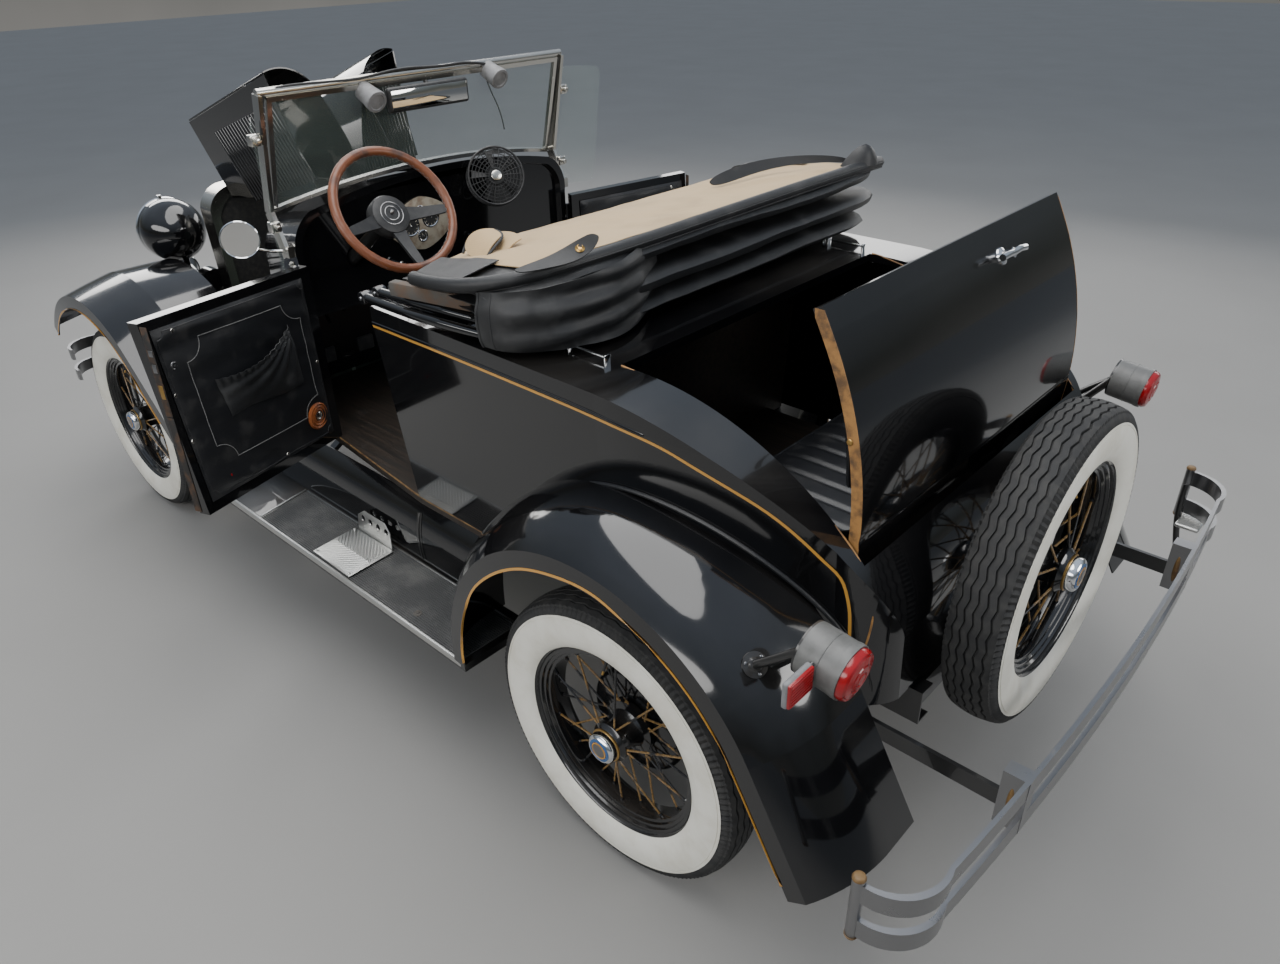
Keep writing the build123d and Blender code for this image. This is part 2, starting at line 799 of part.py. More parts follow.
def bonnet_top_face(x):
    top, half, side_z, _ = bonnet_sizes(x)
    knee = half - 27
    knee_z = side_z + 104
    edge = half - 104
    edge_z = top - 44
    t = bonnet_plate
    g = bonnet_pin + seat_gap
    face = make_face([
        ThreePointArc((g, top - 0.5), (edge / 2, top - 10), (edge, edge_z)),
        ThreePointArc((edge, edge_z), (knee, knee_z), (half, side_z)),
        Line((half, side_z), (half - t, side_z)),
        ThreePointArc((half - t, side_z), (knee - t * 0.8, knee_z - t * 0.6), (edge, edge_z - t)),
        ThreePointArc((edge, edge_z - t), (edge / 2, top - 10 - t), (g, top - 0.5 - t)),
        Line((g, top - 0.5 - t), (g, top - 0.5)),
    ])
    plane = Plane(origin=(x, 0, 0), x_dir=(0, 1, 0), z_dir=(1, 0, 0))
    return plane * face


def bonnet_top_shut():
    ends = (bonnet_rear_x + bonnet_gap, bonnet_front_x - bonnet_gap)
    shell = loft([bonnet_top_face(x) for x in ends], ruled=True)
    start = Vector(*side_hinge_point)
    along = Vector(*side_hinge_dir)
    return shell + rod(tuple(start + along * 0.015), tuple(start + along * 0.98), bonnet_pin)


def bonnet_side_face(x):
    _, half, side_z, foot = bonnet_sizes(x)
    t = bonnet_plate
    hang = side_z - bonnet_pin - 1
    face = outline([(half, hang), (foot, bonnet_bottom), (foot - t, bonnet_bottom), (half - t, hang)])
    plane = Plane(origin=(x, 0, 0), x_dir=(0, 1, 0), z_dir=(1, 0, 0))
    return plane * face


def bonnet_side_shut():
    ends = (bonnet_rear_x + bonnet_gap, bonnet_front_x - bonnet_gap)
    panel = loft([bonnet_side_face(x) for x in ends], ruled=True)
    kept = outline([
        (bonnet_rear_x + bonnet_gap, bonnet_rear_side), (bonnet_front_x, bonnet_rear_side),
        (bonnet_front_x, bonnet_bottom - 1), (bonnet_rear_x + bonnet_side_gap, bonnet_bottom - 1),
    ])
    return panel & side_plate(kept, 0, body_half)


def bonnet_rod():
    """The rod along the ridge that both bonnet halves hang on."""
    start = Vector(*ridge_point)
    along = Vector(*ridge_dir)
    far = (radiator_x - 0.8 - bonnet_rear_x) / bonnet_run
    return rod(tuple(start + along * 0.0005), tuple(start + along * far), bonnet_pin)


def bonnet_top(opening):
    return turn(bonnet_top_shut(), ridge_point, ridge_dir, opening)


def bonnet_side(opening, swing):
    hung = turn(bonnet_side_shut(), side_hinge_point, side_hinge_dir, -swing)
    return turn(hung, ridge_point, ridge_dir, opening)


# Fenders: a domed section carried round the wheel and on along straight tails


def fender_section(inner, inner_radius):
    """The domed section, as (radius, y) outside the tyre."""
    t = fender_plate
    outer = fender_outer
    edge = fender_edge_radius
    crown = inner_radius
    return make_face([
        Line((edge, outer), (edge + 44, outer - 3)),
        ThreePointArc((edge + 44, outer - 3), (crown - 28, outer - 70), (crown, outer - 190)),
        Line((crown, outer - 190), (crown, inner)),
        Line((crown, inner), (crown - t, inner)),
        Line((crown - t, inner), (crown - t, outer - 190)),
        ThreePointArc((crown - t, outer - 190), (crown - 28 - t, outer - 70 - t / 2), (edge + 44, outer - 3 - t)),
        Line((edge + 44, outer - 3 - t), (edge, outer - t)),
        Line((edge, outer - t), (edge, outer)),
    ])


def fender_arc(section, centre_x, centre_z, start, end):
    """The section turned about the wheel, from start to end degrees from straight ahead, over the top."""
    swept = revolve(section, axis=Axis.Y, revolution_arc=end - start)
    swept = swept.rotate(Axis.Y, -end)
    return Pos(centre_x, 0, centre_z) * swept


def fender_tail(section, centre_x, centre_z, angle, length):
    """A straight run of the section that leaves the arc at an angle."""
    run = extrude(Plane(origin=(0, 0, 0), x_dir=(1, 0, 0), z_dir=(0, 0, 1)) * section, amount=length)
    run = run.rotate(Axis.Y, -angle)
    return Pos(centre_x, 0, centre_z) * run


rear_fender_x = rear_axle_x - 20
rear_fender_z = 430
rear_fender_end = 150
rear_fender_drop = 297


def fender_rear():
    section = fender_section(560, 580)
    shape = fender_arc(section, rear_fender_x, rear_fender_z, 0, rear_fender_end)
    shape += fender_tail(section, rear_fender_x, rear_fender_z, rear_fender_end, rear_fender_drop)
    foot = rear_fender_z - board_top - seat_gap
    shape += Pos(0, 0, -foot) * fender_tail(section, rear_fender_x, rear_fender_z, 0, foot)
    sill = block(cockpit_rear_x - 60, pillar_x, 500, body_sill_half + seat_gap, board_top, body_bottom)
    return shape - body_mass(-seat_gap) - sill


front_fender_z = 400
front_fender_start = 36
front_fender_end = 134
front_fender_run = 560
front_crown = 545
skirt_y = 430
lamp_bar_x = rear_axle_x + 2760


def front_fender_point(radius, angle):
    a = radians(angle)
    return (front_axle_x + radius * cos(a), front_fender_z + radius * sin(a))


def skirt_face():
    """The inner skirt seen from the side, from the frame up to the fender."""
    edge = front_crown - fender_plate / 2
    low = rail_top + seat_gap
    knee_x, knee_z = front_fender_point(edge, front_fender_end)
    slope = radians(front_fender_end - 90)
    low_x = knee_x - (knee_z - low) / tan(slope)
    front_x = lamp_bar_x + 30
    front_z = front_fender_z + (edge ** 2 - (front_x - front_axle_x) ** 2) ** 0.5
    middle = front_fender_point(edge, (front_fender_end + 72) / 2)
    return make_face([
        Line((low_x, low), (front_axle_x + 10, low)),
        Line((front_axle_x + 10, low), (front_x, low + 200)),
        Line((front_x, low + 200), (front_x, front_z)),
        ThreePointArc((front_x, front_z), middle, (knee_x, knee_z)),
        Line((knee_x, knee_z), (low_x, low)),
    ])


def fender_front():
    section = fender_section(skirt_y, front_crown)
    shape = fender_arc(section, front_axle_x, front_fender_z, front_fender_start, front_fender_end)
    shape += fender_tail(section, front_axle_x, front_fender_z, front_fender_end, front_fender_run)
    shape -= block(front_axle_x - 1400, front_axle_x, 300, 900, 0, board_top + seat_gap)
    shape += side_plate(skirt_face(), skirt_y, skirt_y + fender_plate)
    low = rail_top + seat_gap
    return shape + block(bonnet_rear_x + 180, radiator_x - 6, rail_y - 20, skirt_y + 2, low, low + fender_plate)


def running_board():
    return block(board_rear_x, board_front_x, board_inner, board_outer, board_top - board_thickness, board_top)


board_rear_x = rear_axle_x + 440
board_front_x = front_axle_x - 655
apron_plate = 4
apron_top = 602


def splash_apron():
    low = board_top + seat_gap
    foot = board_inner + 20
    face = make_face([
        ThreePointArc((foot, low), (foot - 2, 520), (586, apron_top)),
        Line((586, apron_top), (586 - apron_plate, apron_top)),
        ThreePointArc((586 - apron_plate, apron_top), (foot - 2 - apron_plate, 520), (foot - apron_plate, low)),
        Line((foot - apron_plate, low), (foot, low)),
    ])
    shape = cross_plate(face, board_rear_x, front_axle_x - 400)
    crown = 580 + seat_gap
    disc = side_plate(Pos(rear_fender_x, rear_fender_z) * Circle(crown), 500, 700)
    shape -= disc + block(board_rear_x - 1, rear_fender_x + crown, 500, 700, 300, rear_fender_z)
    edge = front_crown + seat_gap
    knee_x, knee_z = front_fender_point(edge, front_fender_end)
    slope = radians(front_fender_end - 90)
    under = outline([
        (knee_x, knee_z), (knee_x - (knee_z - 300) / tan(slope), 300), (front_axle_x, 300), (front_axle_x, knee_z),
    ])
    return shape - side_plate(under, 500, 700)


# Lamps, horn and bumpers

lamp_x = rear_axle_x + 2800
lamp_y = 360
lamp_z = 1020
lamp_radius = 120
lamp_bar_z = 830


def headlamp():
    bowl = make_face([
        Line((0, 60), (lamp_radius, 60)),
        Line((lamp_radius, 60), (lamp_radius, 40)),
        ThreePointArc((lamp_radius, 40), (lamp_radius * 0.84, -60), (14, -116)),
        Line((14, -116), (0, -116)),
        Line((0, -116), (0, 60)),
    ])
    return Pos(lamp_x, lamp_y, lamp_z) * (Rot(0, 0, -90) * revolve(bowl, axis=Axis.Y))


def horn():
    z = lamp_bar_z - 20
    bell = turned([(0, -120), (58, -120), (58, -60), (24, -50), (22, 60), (34, 110), (62, 160), (58, 160), (0, 60)])
    return Pos(lamp_x, 300, z) * (Rot(0, 0, -90) * bell)


def headlamps():
    """Both headlamps and the horn on the bar between the front fenders."""
    reach = skirt_y - seat_gap
    shape = rod((lamp_bar_x, -reach, lamp_bar_z), (lamp_bar_x, reach, lamp_bar_z), 14)
    for side in (1, -1):
        shape += rod((lamp_bar_x, side * lamp_y, lamp_bar_z), (lamp_bar_x, side * lamp_y, lamp_z - 80), 12)
    return shape + headlamp() + other_side(headlamp()) + horn()


bumper_height = 44


bumper_plate = 9


def bumper_bar(middle_x, facing, half, z):
    """One spring bar, bowed away from the car and hooked back at its ends."""
    shoulder = half - 130

    def bow(depth, trim):
        return [
            ((middle_x - facing * (depth + 140), -half + trim)),
            ((middle_x - facing * (depth + 62), -half + 26 + trim)),
            ((middle_x - facing * (depth + 34), -shoulder)),
            ((middle_x - facing * depth, 0)),
            ((middle_x - facing * (depth + 34), shoulder)),
            ((middle_x - facing * (depth + 62), half - 26 - trim)),
            ((middle_x - facing * (depth + 140), half - trim)),
        ]

    out = bow(0, 0)
    back = bow(bumper_plate, bumper_plate)
    plan = make_face([
        ThreePointArc(out[0], out[1], out[2]),
        ThreePointArc(out[2], out[3], out[4]),
        ThreePointArc(out[4], out[5], out[6]),
        Line(out[6], back[6]),
        ThreePointArc(back[6], back[5], back[4]),
        ThreePointArc(back[4], back[3], back[2]),
        ThreePointArc(back[2], back[1], back[0]),
        Line(back[0], out[0]),
    ])
    return extrude(Pos(0, 0, z) * plan, amount=bumper_height)


front_bumper_x = rear_axle_x + 3117
rear_bumper_x = rear_axle_x - 866


def front_bumper():
    shape = bumper_bar(front_bumper_x, 1, 826, 470) + bumper_bar(front_bumper_x, 1, 826, 560)
    for y in (-340, 340):
        shape += block(front_bumper_x - 60, front_bumper_x - 12, y - 18, y + 18, 470, 604)
    return shape


def rear_bumper():
    shape = bumper_bar(rear_bumper_x, -1, 900, 530) + bumper_bar(rear_bumper_x, -1, 900, 620)
    for y in (-495, 495):
        shape += block(rear_bumper_x + 14, rear_bumper_x + 66, y - 18, y + 18, 530, 664)
    return shape


def tail_lamps():
    shapes = []
    fender_cover = fender_rear()
    for side in (1, -1):
        y = side * 744
        drum = rod((rear_axle_x - 583, y, 934), (rear_axle_x - 500, y, 944), 52)
        stalk = rod((rear_axle_x - 505, y, 944), (rear_axle_x - 405, side * 716, 820), 10)
        lamp = drum + stalk - fender_cover
        shapes.append(largest(lamp))
        fender_cover = other_side(fender_cover)
    return Compound(shapes)


def spare_carrier():
    hub_face = spare_x + hub_tail + seat_gap
    shape = rod((hub_face, 0, spare_z), (tail_x - seat_gap, 0, spare_z), 70)
    return shape + rod((hub_face - 60, 0, spare_z), (hub_face, 0, spare_z), spindle_radius)


# Cabin


def cockpit_floor():
    """The floor boards with the sill under each door."""
    low = apron_top + seat_gap
    front_x = bonnet_rear_x - firewall - 2
    plan = outline([
        (front_x, -410), (front_x, 410), (hinge_x, 500), (pillar_x, 560), (cockpit_rear_x, 560),
        (cockpit_rear_x, -560), (pillar_x, -560), (hinge_x, -500), (front_x, -410),
    ])
    shape = extrude(Pos(0, 0, low) * plan, amount=12)
    sill = outline([
        (front_x, 446), (hinge_x, hinge_half), (pillar_x, body_sill_half), (cockpit_rear_x, body_sill_half),
        (cockpit_rear_x, body_sill_half - 60), (pillar_x, body_sill_half - 60), (hinge_x, 480), (front_x, 400),
    ])
    rail = extrude(Pos(0, 0, low) * sill, amount=sill_top - low)
    shape += rail + other_side(rail)
    return shape + body_mounts((rear_axle_x + 700, rear_axle_x + 1500), low)


def body_mounts(places, top):
    """Pads on the frame's rails that carry the body."""
    pads = None
    for x in places:
        for side in (1, -1):
            pad = block(x - 40, x + 40, side * (rail_y - rail_width + 2), side * (rail_y - 2), rail_top + seat_gap,
                        top + 2)
            pads = pad if pads is None else pads + pad
    return pads


floor_top = apron_top + seat_gap + 12


def rumble_tub():
    """The floor of the rumble compartment and the bulkhead ahead of it."""
    floor = block(rear_axle_x - 515, cockpit_rear_x, -500, 500, body_bottom, body_bottom + 12)
    bulkhead = block(cockpit_rear_x - 12, cockpit_rear_x, -640, 640, body_bottom, deck_top)
    tub = ((floor + bulkhead) & body_inner) + lid_posts()
    return tub + body_mounts((rear_axle_x - 400, rear_axle_x + 300), body_bottom)


seat_height = 700
rumble_seat_height = 700


def seat_base():
    """The open riser under the cabin seat."""
    low = floor_top + seat_gap
    top = seat_height - seat_gap
    riser = block(rear_axle_x + 600, rear_axle_x + 1090, -490, 490, low, top)
    return riser - block(rear_axle_x + 612, rear_axle_x + 1078, -478, 478, low - 1, top - 12)


def rumble_base():
    """The open riser under the rumble seat."""
    low = body_bottom + 12 + seat_gap
    top = rumble_seat_height - seat_gap
    riser = block(rear_axle_x - 330, rear_axle_x + 100, -450, 450, low, top)
    return riser - block(rear_axle_x - 318, rear_axle_x + 88, -438, 438, low - 1, top - 12)


def seat_cushion():
    return block(rear_axle_x + 600, rear_axle_x + 1120, -500, 500, seat_height, seat_height + 150)


def seat_back():
    low = seat_height + 150 + seat_gap
    face = outline([
        (cockpit_rear_x + seat_gap, low), (cockpit_rear_x + 150, low),
        (cockpit_rear_x + 96, 1190), (cockpit_rear_x + 12, 1190),
    ])
    return side_plate(face, -530, 530)


def rumble_cushion():
    return block(rear_axle_x - 340, rear_axle_x + 120, -460, 460, rumble_seat_height, rumble_seat_height + 100)


def lid_pad():
    """The seat back on the inside of the rumble lid."""
    zone = block(lid_hinge_x + 70, lid_front_x - 36, -440, 440, lid_hinge_z + 60, deck_top)
    pad = (body_mass(body_wall + seat_gap) - body_mass(body_wall + 70)) & zone
    return turn(pad, (lid_hinge_x, 0, lid_hinge_z), (0, 1, 0), -lid_open)


def folded_top():
    face = outline([
        (rear_axle_x + 250, 1260), (rear_axle_x + 400, deck_top + seat_gap), (rear_axle_x + 470, deck_top + seat_gap),
        (rear_axle_x + 780, 1290), (rear_axle_x + 790, 1345),
        (rear_axle_x + 380, 1375), (rear_axle_x + 270, 1412),
    ])
    return side_plate(face, -750, 750)


def dash_panel():
    face = outline([(-520, 1010), (520, 1010), (520, 1340), (-520, 1340)])
    plate = cross_plate(face, hinge_x + 22, hinge_x + 30) & cowl_space(body_wall + seat_gap)
    return plate - rod(column_point(100), column_point(500), column_radius + 6)


def pair(shape):
    """The left piece and its twin on the right."""
    return {"left": shape, "right": other_side(shape)}


def build():
    pieces = {
        "frame_rails": frame_rails(),
        "front_axle": front_axle(),
        "rear_axle": rear_axle(),
        "leaf_springs": leaf_springs(),
        "track_rod": track_rod(),
        "engine_gearbox": engine(),
        "exhaust": exhaust(),
        "radiator_shell": radiator_shell(),
        "radiator_core": radiator_core(),
        "rear_body_centre": rear_centre(),
        "rumble_lid": rumble_lid(),
        "cowl": cowl(),
        "dash_panel": dash_panel(),
        "steering_column": steering_column(),
        "steering_wheel": steering_wheel(),
        "windscreen_frame": windscreen_frame(),
        "windscreen_glass": windscreen_glass(),
        "bonnet_top_left": bonnet_top(bonnet_open_left),
        "bonnet_side_left": bonnet_side(bonnet_open_left, side_swing_left),
        "bonnet_top_right": other_side(bonnet_top(bonnet_open_right)),
        "bonnet_side_right": other_side(bonnet_side(bonnet_open_right, side_swing_right)),
        "bonnet_rod": bonnet_rod(),
        "headlamps_horn": headlamps(),
        "front_bumper": front_bumper(),
        "rear_bumper": rear_bumper(),
        "tail_lamps": tail_lamps(),
        "wheel_spare": set_spare(spare_master),
        "tyre_spare": set_spare(tyre_master),
        "spare_carrier": spare_carrier(),
        "cockpit_floor": cockpit_floor(),
        "rumble_tub": rumble_tub(),
        "seat_base": seat_base(),
        "rumble_base": rumble_base(),
        "rumble_lid_pad": lid_pad(),
        "seat_cushion": seat_cushion(),
        "seat_back": seat_back(),
        "rumble_cushion": rumble_cushion(),
        "folded_top": folded_top(),
    }
    for name, shape in (
        ("knuckle", knuckle()),
        ("door", door()),
        ("quarter_panel", quarter_panel()),
    ):
        for side, placed in pair(shape).items():
            pieces[name + "_" + side] = placed
    for name, shape in (
        ("fenders_front", fender_front()),
        ("fenders_rear", fender_rear()),
        ("running_boards", running_board()),
        ("splash_aprons", splash_apron()),
    ):
        both = shape.solids() + other_side(shape).solids()
        pieces[name] = Compound(list(both))
    for name, x, side in (
        ("front_left", front_axle_x, 1),
        ("front_right", front_axle_x, -1),
        ("rear_left", rear_axle_x, 1),
        ("rear_right", rear_axle_x, -1),
    ):
        pieces["wheel_" + name] = set_wheel(wheel_master, x, side)
        pieces["tyre_" + name] = set_wheel(tyre_master, x, side)
    return pieces


for node_name, node_shape in build().items():
    export_step(one(node_shape), "parts/" + node_name + ".step")
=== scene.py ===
import math

import bpy
import numpy as np
from mathutils import Matrix, Vector, noise
from mathutils.bvhtree import BVHTree


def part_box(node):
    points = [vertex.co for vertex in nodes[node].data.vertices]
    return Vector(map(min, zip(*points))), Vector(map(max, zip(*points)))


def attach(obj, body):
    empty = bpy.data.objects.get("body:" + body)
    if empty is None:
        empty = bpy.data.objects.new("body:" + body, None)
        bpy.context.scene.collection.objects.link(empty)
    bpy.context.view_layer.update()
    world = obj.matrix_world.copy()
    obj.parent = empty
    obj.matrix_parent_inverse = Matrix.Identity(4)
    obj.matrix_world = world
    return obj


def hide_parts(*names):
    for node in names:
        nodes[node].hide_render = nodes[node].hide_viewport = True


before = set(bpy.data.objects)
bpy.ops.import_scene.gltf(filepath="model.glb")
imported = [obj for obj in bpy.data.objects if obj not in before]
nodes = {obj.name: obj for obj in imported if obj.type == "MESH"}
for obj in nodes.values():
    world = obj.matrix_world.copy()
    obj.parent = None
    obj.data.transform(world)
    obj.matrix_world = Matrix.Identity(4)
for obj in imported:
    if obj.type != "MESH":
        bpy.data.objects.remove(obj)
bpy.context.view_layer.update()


def middle(node):
    low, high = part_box(node)
    return (low + high) / 2


rear = middle("wheel_rear_left").x  # everything below is measured from the rear axle


def at(x, y, z):
    return Vector((rear + x, y, z))


def spots(places):
    return [at(*place) for place in places]


# Modelling helpers

def only(piece):
    bpy.ops.object.select_all(action="DESELECT")
    piece.select_set(True)
    bpy.context.view_layer.objects.active = piece
    return piece


def applied(piece):
    only(piece)
    bpy.ops.object.transform_apply(location=True, rotation=True, scale=True)
    return piece


def modified(piece, kind, **settings):
    only(piece)
    modifier = piece.modifiers.new(kind.title(), kind)
    for key, value in settings.items():
        setattr(modifier, key, value)
    bpy.ops.object.modifier_apply(modifier=modifier.name)
    return piece


def inked(piece, material):
    piece.data.materials.clear()
    piece.data.materials.append(material)
    return piece


def meshPiece(points, edges, faces):
    mesh = bpy.data.meshes.new("shape")
    mesh.from_pydata([tuple(point) for point in points], edges, faces)
    piece = bpy.data.objects.new("shape", mesh)
    bpy.context.scene.collection.objects.link(piece)
    return piece


def rightOut(piece):
    only(piece)
    bpy.ops.object.mode_set(mode="EDIT")
    bpy.ops.mesh.select_all(action="SELECT")
    bpy.ops.mesh.remove_doubles(threshold=0.00001)
    bpy.ops.mesh.normals_make_consistent(inside=False)
    bpy.ops.object.mode_set(mode="OBJECT")
    return piece


def slab(low, high, edge=0.002, steps=2):
    low, high = Vector(low), Vector(high)
    bpy.ops.object.select_all(action="DESELECT")
    bpy.ops.mesh.primitive_cube_add(size=1, location=(low + high) / 2)
    piece = bpy.context.object
    piece.scale = high - low
    applied(piece)
    if edge:
        modified(piece, "BEVEL", width=edge, segments=steps)
    return piece


def rod(start, end, radius, tip=None, sides=20, edge=0):
    start, end = Vector(start), Vector(end)
    run = end - start
    bpy.ops.object.select_all(action="DESELECT")
    bpy.ops.mesh.primitive_cone_add(
        vertices=sides, radius1=radius, radius2=radius if tip is None else tip, depth=run.length,
        location=(start + end) / 2, rotation=run.to_track_quat("Z", "Y").to_euler())
    piece = applied(bpy.context.object)
    if edge:
        modified(piece, "BEVEL", width=edge, segments=2, limit_method="ANGLE")
    return piece


def ball(centre, radii, rings=16):
    bpy.ops.object.select_all(action="DESELECT")
    bpy.ops.mesh.primitive_uv_sphere_add(segments=rings * 2, ring_count=rings, radius=1, location=centre)
    piece = bpy.context.object
    piece.scale = radii if hasattr(radii, "__len__") else (radii, radii, radii)
    return applied(piece)


def hoop(centre, axis, major, minor, steps=64, sides=12):
    bpy.ops.object.select_all(action="DESELECT")
    bpy.ops.mesh.primitive_torus_add(
        location=centre, rotation=Vector(axis).to_track_quat("Z", "Y").to_euler(),
        major_radius=major, minor_radius=minor, major_segments=steps, minor_segments=sides)
    return applied(bpy.context.object)


def facing(direction, track="Z", up="Y"):
    return Vector(direction).to_track_quat(track, up).to_matrix().to_4x4()


def spun(profile, centre, axis, steps=64):
    piece = meshPiece([(radius, 0, height) for radius, height in profile],
                      [(i, i + 1) for i in range(len(profile) - 1)], [])
    only(piece)
    bpy.ops.object.mode_set(mode="EDIT")
    bpy.ops.mesh.select_all(action="SELECT")
    bpy.ops.mesh.spin(steps=steps, angle=2 * math.pi, center=(0, 0, 0), axis=(0, 0, 1))
    bpy.ops.object.mode_set(mode="OBJECT")
    rightOut(piece)
    piece.matrix_world = Matrix.Translation(centre) @ facing(axis)
    return applied(piece)


def tube(points, radius, closed=False, bends=True, sides=3):
    line = bpy.data.curves.new("line", "CURVE")
    line.dimensions = "3D"
    line.bevel_depth = radius
    line.bevel_resolution = sides
    line.resolution_u = 5
    line.use_fill_caps = True
    spline = line.splines.new("NURBS" if bends else "POLY")
    spline.points.add(len(points) - 1)
    for knot, place in zip(spline.points, points):
        knot.co = (*place, 1)
    spline.use_cyclic_u = closed
    if bends:
        spline.order_u = 3
        spline.use_endpoint_u = not closed
    piece = bpy.data.objects.new("line", line)
    bpy.context.scene.collection.objects.link(piece)
    only(piece)
    bpy.ops.object.convert(target="MESH")
    return bpy.context.object


def plate(outline, normal, thickness, edge=0.0015):
    # a flat plate from the points of its outline, grown along its normal
    piece = meshPiece(outline, [], [tuple(range(len(outline)))])
    if piece.data.polygons[0].normal.dot(Vector(normal)) < 0:
        piece.data.flip_normals()
    only(piece)
    bpy.ops.object.mode_set(mode="EDIT")
    bpy.ops.mesh.select_all(action="SELECT")
    shift = Vector(normal).normalized() * thickness
    bpy.ops.mesh.extrude_region_move(TRANSFORM_OT_translate={"value": shift})
    bpy.ops.object.mode_set(mode="OBJECT")
    rightOut(piece)
    if edge:
        modified(piece, "BEVEL", width=edge, segments=2, limit_method="ANGLE")
    return piece


def smoothRun(points, step=0.02):
    # a run of even samples through the points, by Catmull-Rom
    points = [Vector(point) for point in points]
    ends = [points[0] * 2 - points[1], *points, points[-1] * 2 - points[-2]]
    run = []
    for a, b, c, d in zip(ends, ends[1:], ends[2:], ends[3:]):
        count = max(1, round((c - b).length / step))
        for k in range(count):
            t = k / count
            run.append(0.5 * (2 * b + (c - a) * t + (2 * a - 5 * b + 4 * c - d) * t * t
                              + (3 * b - a - 3 * c + d) * t ** 3))
    return [*run, points[-1]]


def gridFaces(rows, columns):
    # the faces between rows + 1 rows of columns + 1 points
    width = columns + 1
    return [(j * width + i, j * width + i + 1, (j + 1) * width + i + 1, (j + 1) * width + i)
            for j in range(rows) for i in range(columns)]


def runLength(points):
    return sum((b - a).length for a, b in zip(points, points[1:]))


def skin(*names):
    points, faces = [], []
    for name in names:
        mesh = nodes[name].data if name in nodes else bpy.data.objects[name].data
        start = len(points)
        points += [vertex.co.copy() for vertex in mesh.vertices]
        faces += [[start + i for i in polygon.vertices] for polygon in mesh.polygons]
    return BVHTree.FromPolygons(points, faces)


def piece(name, parts, material=None, body="car", slot=None, angle=35):
    for part in parts:
        if material is not None and not part.data.materials:
            inked(part, material)
    bpy.ops.object.select_all(action="DESELECT")
    for part in parts:
        part.select_set(True)
    bpy.context.view_layer.objects.active = parts[0]
    if len(parts) > 1:
        bpy.ops.object.join()
    whole = only(bpy.context.view_layer.objects.active)
    whole.name = whole.data.name = name
    if angle:
        bpy.ops.object.shade_smooth_by_angle(angle=math.radians(angle))
    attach(whole, body)
    return whole


def twin(part):
    # a copy of its own mesh on the other side of the car
    other = part.copy()
    other.data = part.data.copy()
    bpy.context.scene.collection.objects.link(other)
    other.data.transform(Matrix.Scale(-1, 4, (0, 1, 0)))
    other.data.flip_normals()
    return other


# Finishes

class Wire:
    def __init__(self, tree, socket=None):
        self.tree = tree
        self.socket = socket

    def node(self, kind, settings=None, sockets=None, out=0):
        item = self.tree.nodes.new(kind)
        for key, value in (settings or {}).items():
            if key == "stops":
                ramp = item.color_ramp
                ramp.elements[0].position, ramp.elements[1].position = value[0][0], value[-1][0]
                ramp.elements[0].color, ramp.elements[1].color = (*value[0][1], 1), (*value[-1][1], 1)
                for place, colour in value[1:-1]:
                    ramp.elements.new(place).color = (*colour, 1)
            else:
                setattr(item, key, value)
        for key, value in (sockets or {}).items():
            self.feed(value, item.inputs[key])
        return Wire(self.tree, item.outputs[out])

    def feed(self, value, socket):
        if isinstance(value, Wire):
            self.tree.links.new(value.socket, socket)
        elif hasattr(value, "__len__") and len(value) == 3 and socket.type == "RGBA":
            socket.default_value = (*value, 1)
        else:
            socket.default_value = value

    def math(self, operation, first, second=0.0, third=0.0):
        return self.node("ShaderNodeMath", {"operation": operation}, {0: first, 1: second, 2: third})

    def __add__(self, other):
        return self.math("ADD", self, other)

    def __sub__(self, other):
        return self.math("SUBTRACT", self, other)

    def __mul__(self, other):
        return self.math("MULTIPLY", self, other)

    def __truediv__(self, other):
        return self.math("DIVIDE", self, other)

    def __pow__(self, other):
        return self.math("POWER", self, other)

    def __rsub__(self, other):
        return self.math("SUBTRACT", other, self)

    def __lt__(self, other):
        return self.math("LESS_THAN", self, other)

    def __gt__(self, other):
        return self.math("GREATER_THAN", self, other)

    def __abs__(self):
        return self.math("ABSOLUTE", self)

    __radd__ = __add__
    __rmul__ = __mul__

    def place(self):
        return self.node("ShaderNodeTexCoord", out="Object")

    def parts(self, vector):
        split = self.node("ShaderNodeSeparateXYZ", sockets={0: vector})
        return [Wire(self.tree, output) for output in split.socket.node.outputs]

    def moved(self, vector, shift=(0, 0, 0), turn=(0, 0, 0), stretch=(1, 1, 1)):
        return self.node("ShaderNodeMapping", sockets={
            "Vector": vector, "Location": shift, "Rotation": turn, "Scale": stretch})

    def noise(self, vector, scale, detail=4.0, rough=0.5):
        return self.node("ShaderNodeTexNoise", sockets={
            "Vector": vector, "Scale": scale, "Detail": detail, "Roughness": rough})

    def ramp(self, value, *stops):
        return self.node("ShaderNodeValToRGB", {"stops": stops}, {0: value})

    def step(self, value, low, high):
        return self.node("ShaderNodeMapRange", {"interpolation_type": "SMOOTHSTEP"}, {
            "Value": value, "From Min": low, "From Max": high})

    def mix(self, factor, first, second):
        return self.node("ShaderNodeMix", {"data_type": "RGBA"}, {0: factor, 6: first, 7: second}, out=2)

    def bump(self, height, strength=0.3, depth=0.001, under=None):
        sockets = {"Height": height, "Strength": strength, "Distance": depth}
        if under is not None:
            sockets["Normal"] = under
        return self.node("ShaderNodeBump", sockets=sockets)

    def upward(self):
        return self.parts(self.node("ShaderNodeNewGeometry", out="Normal"))[2]


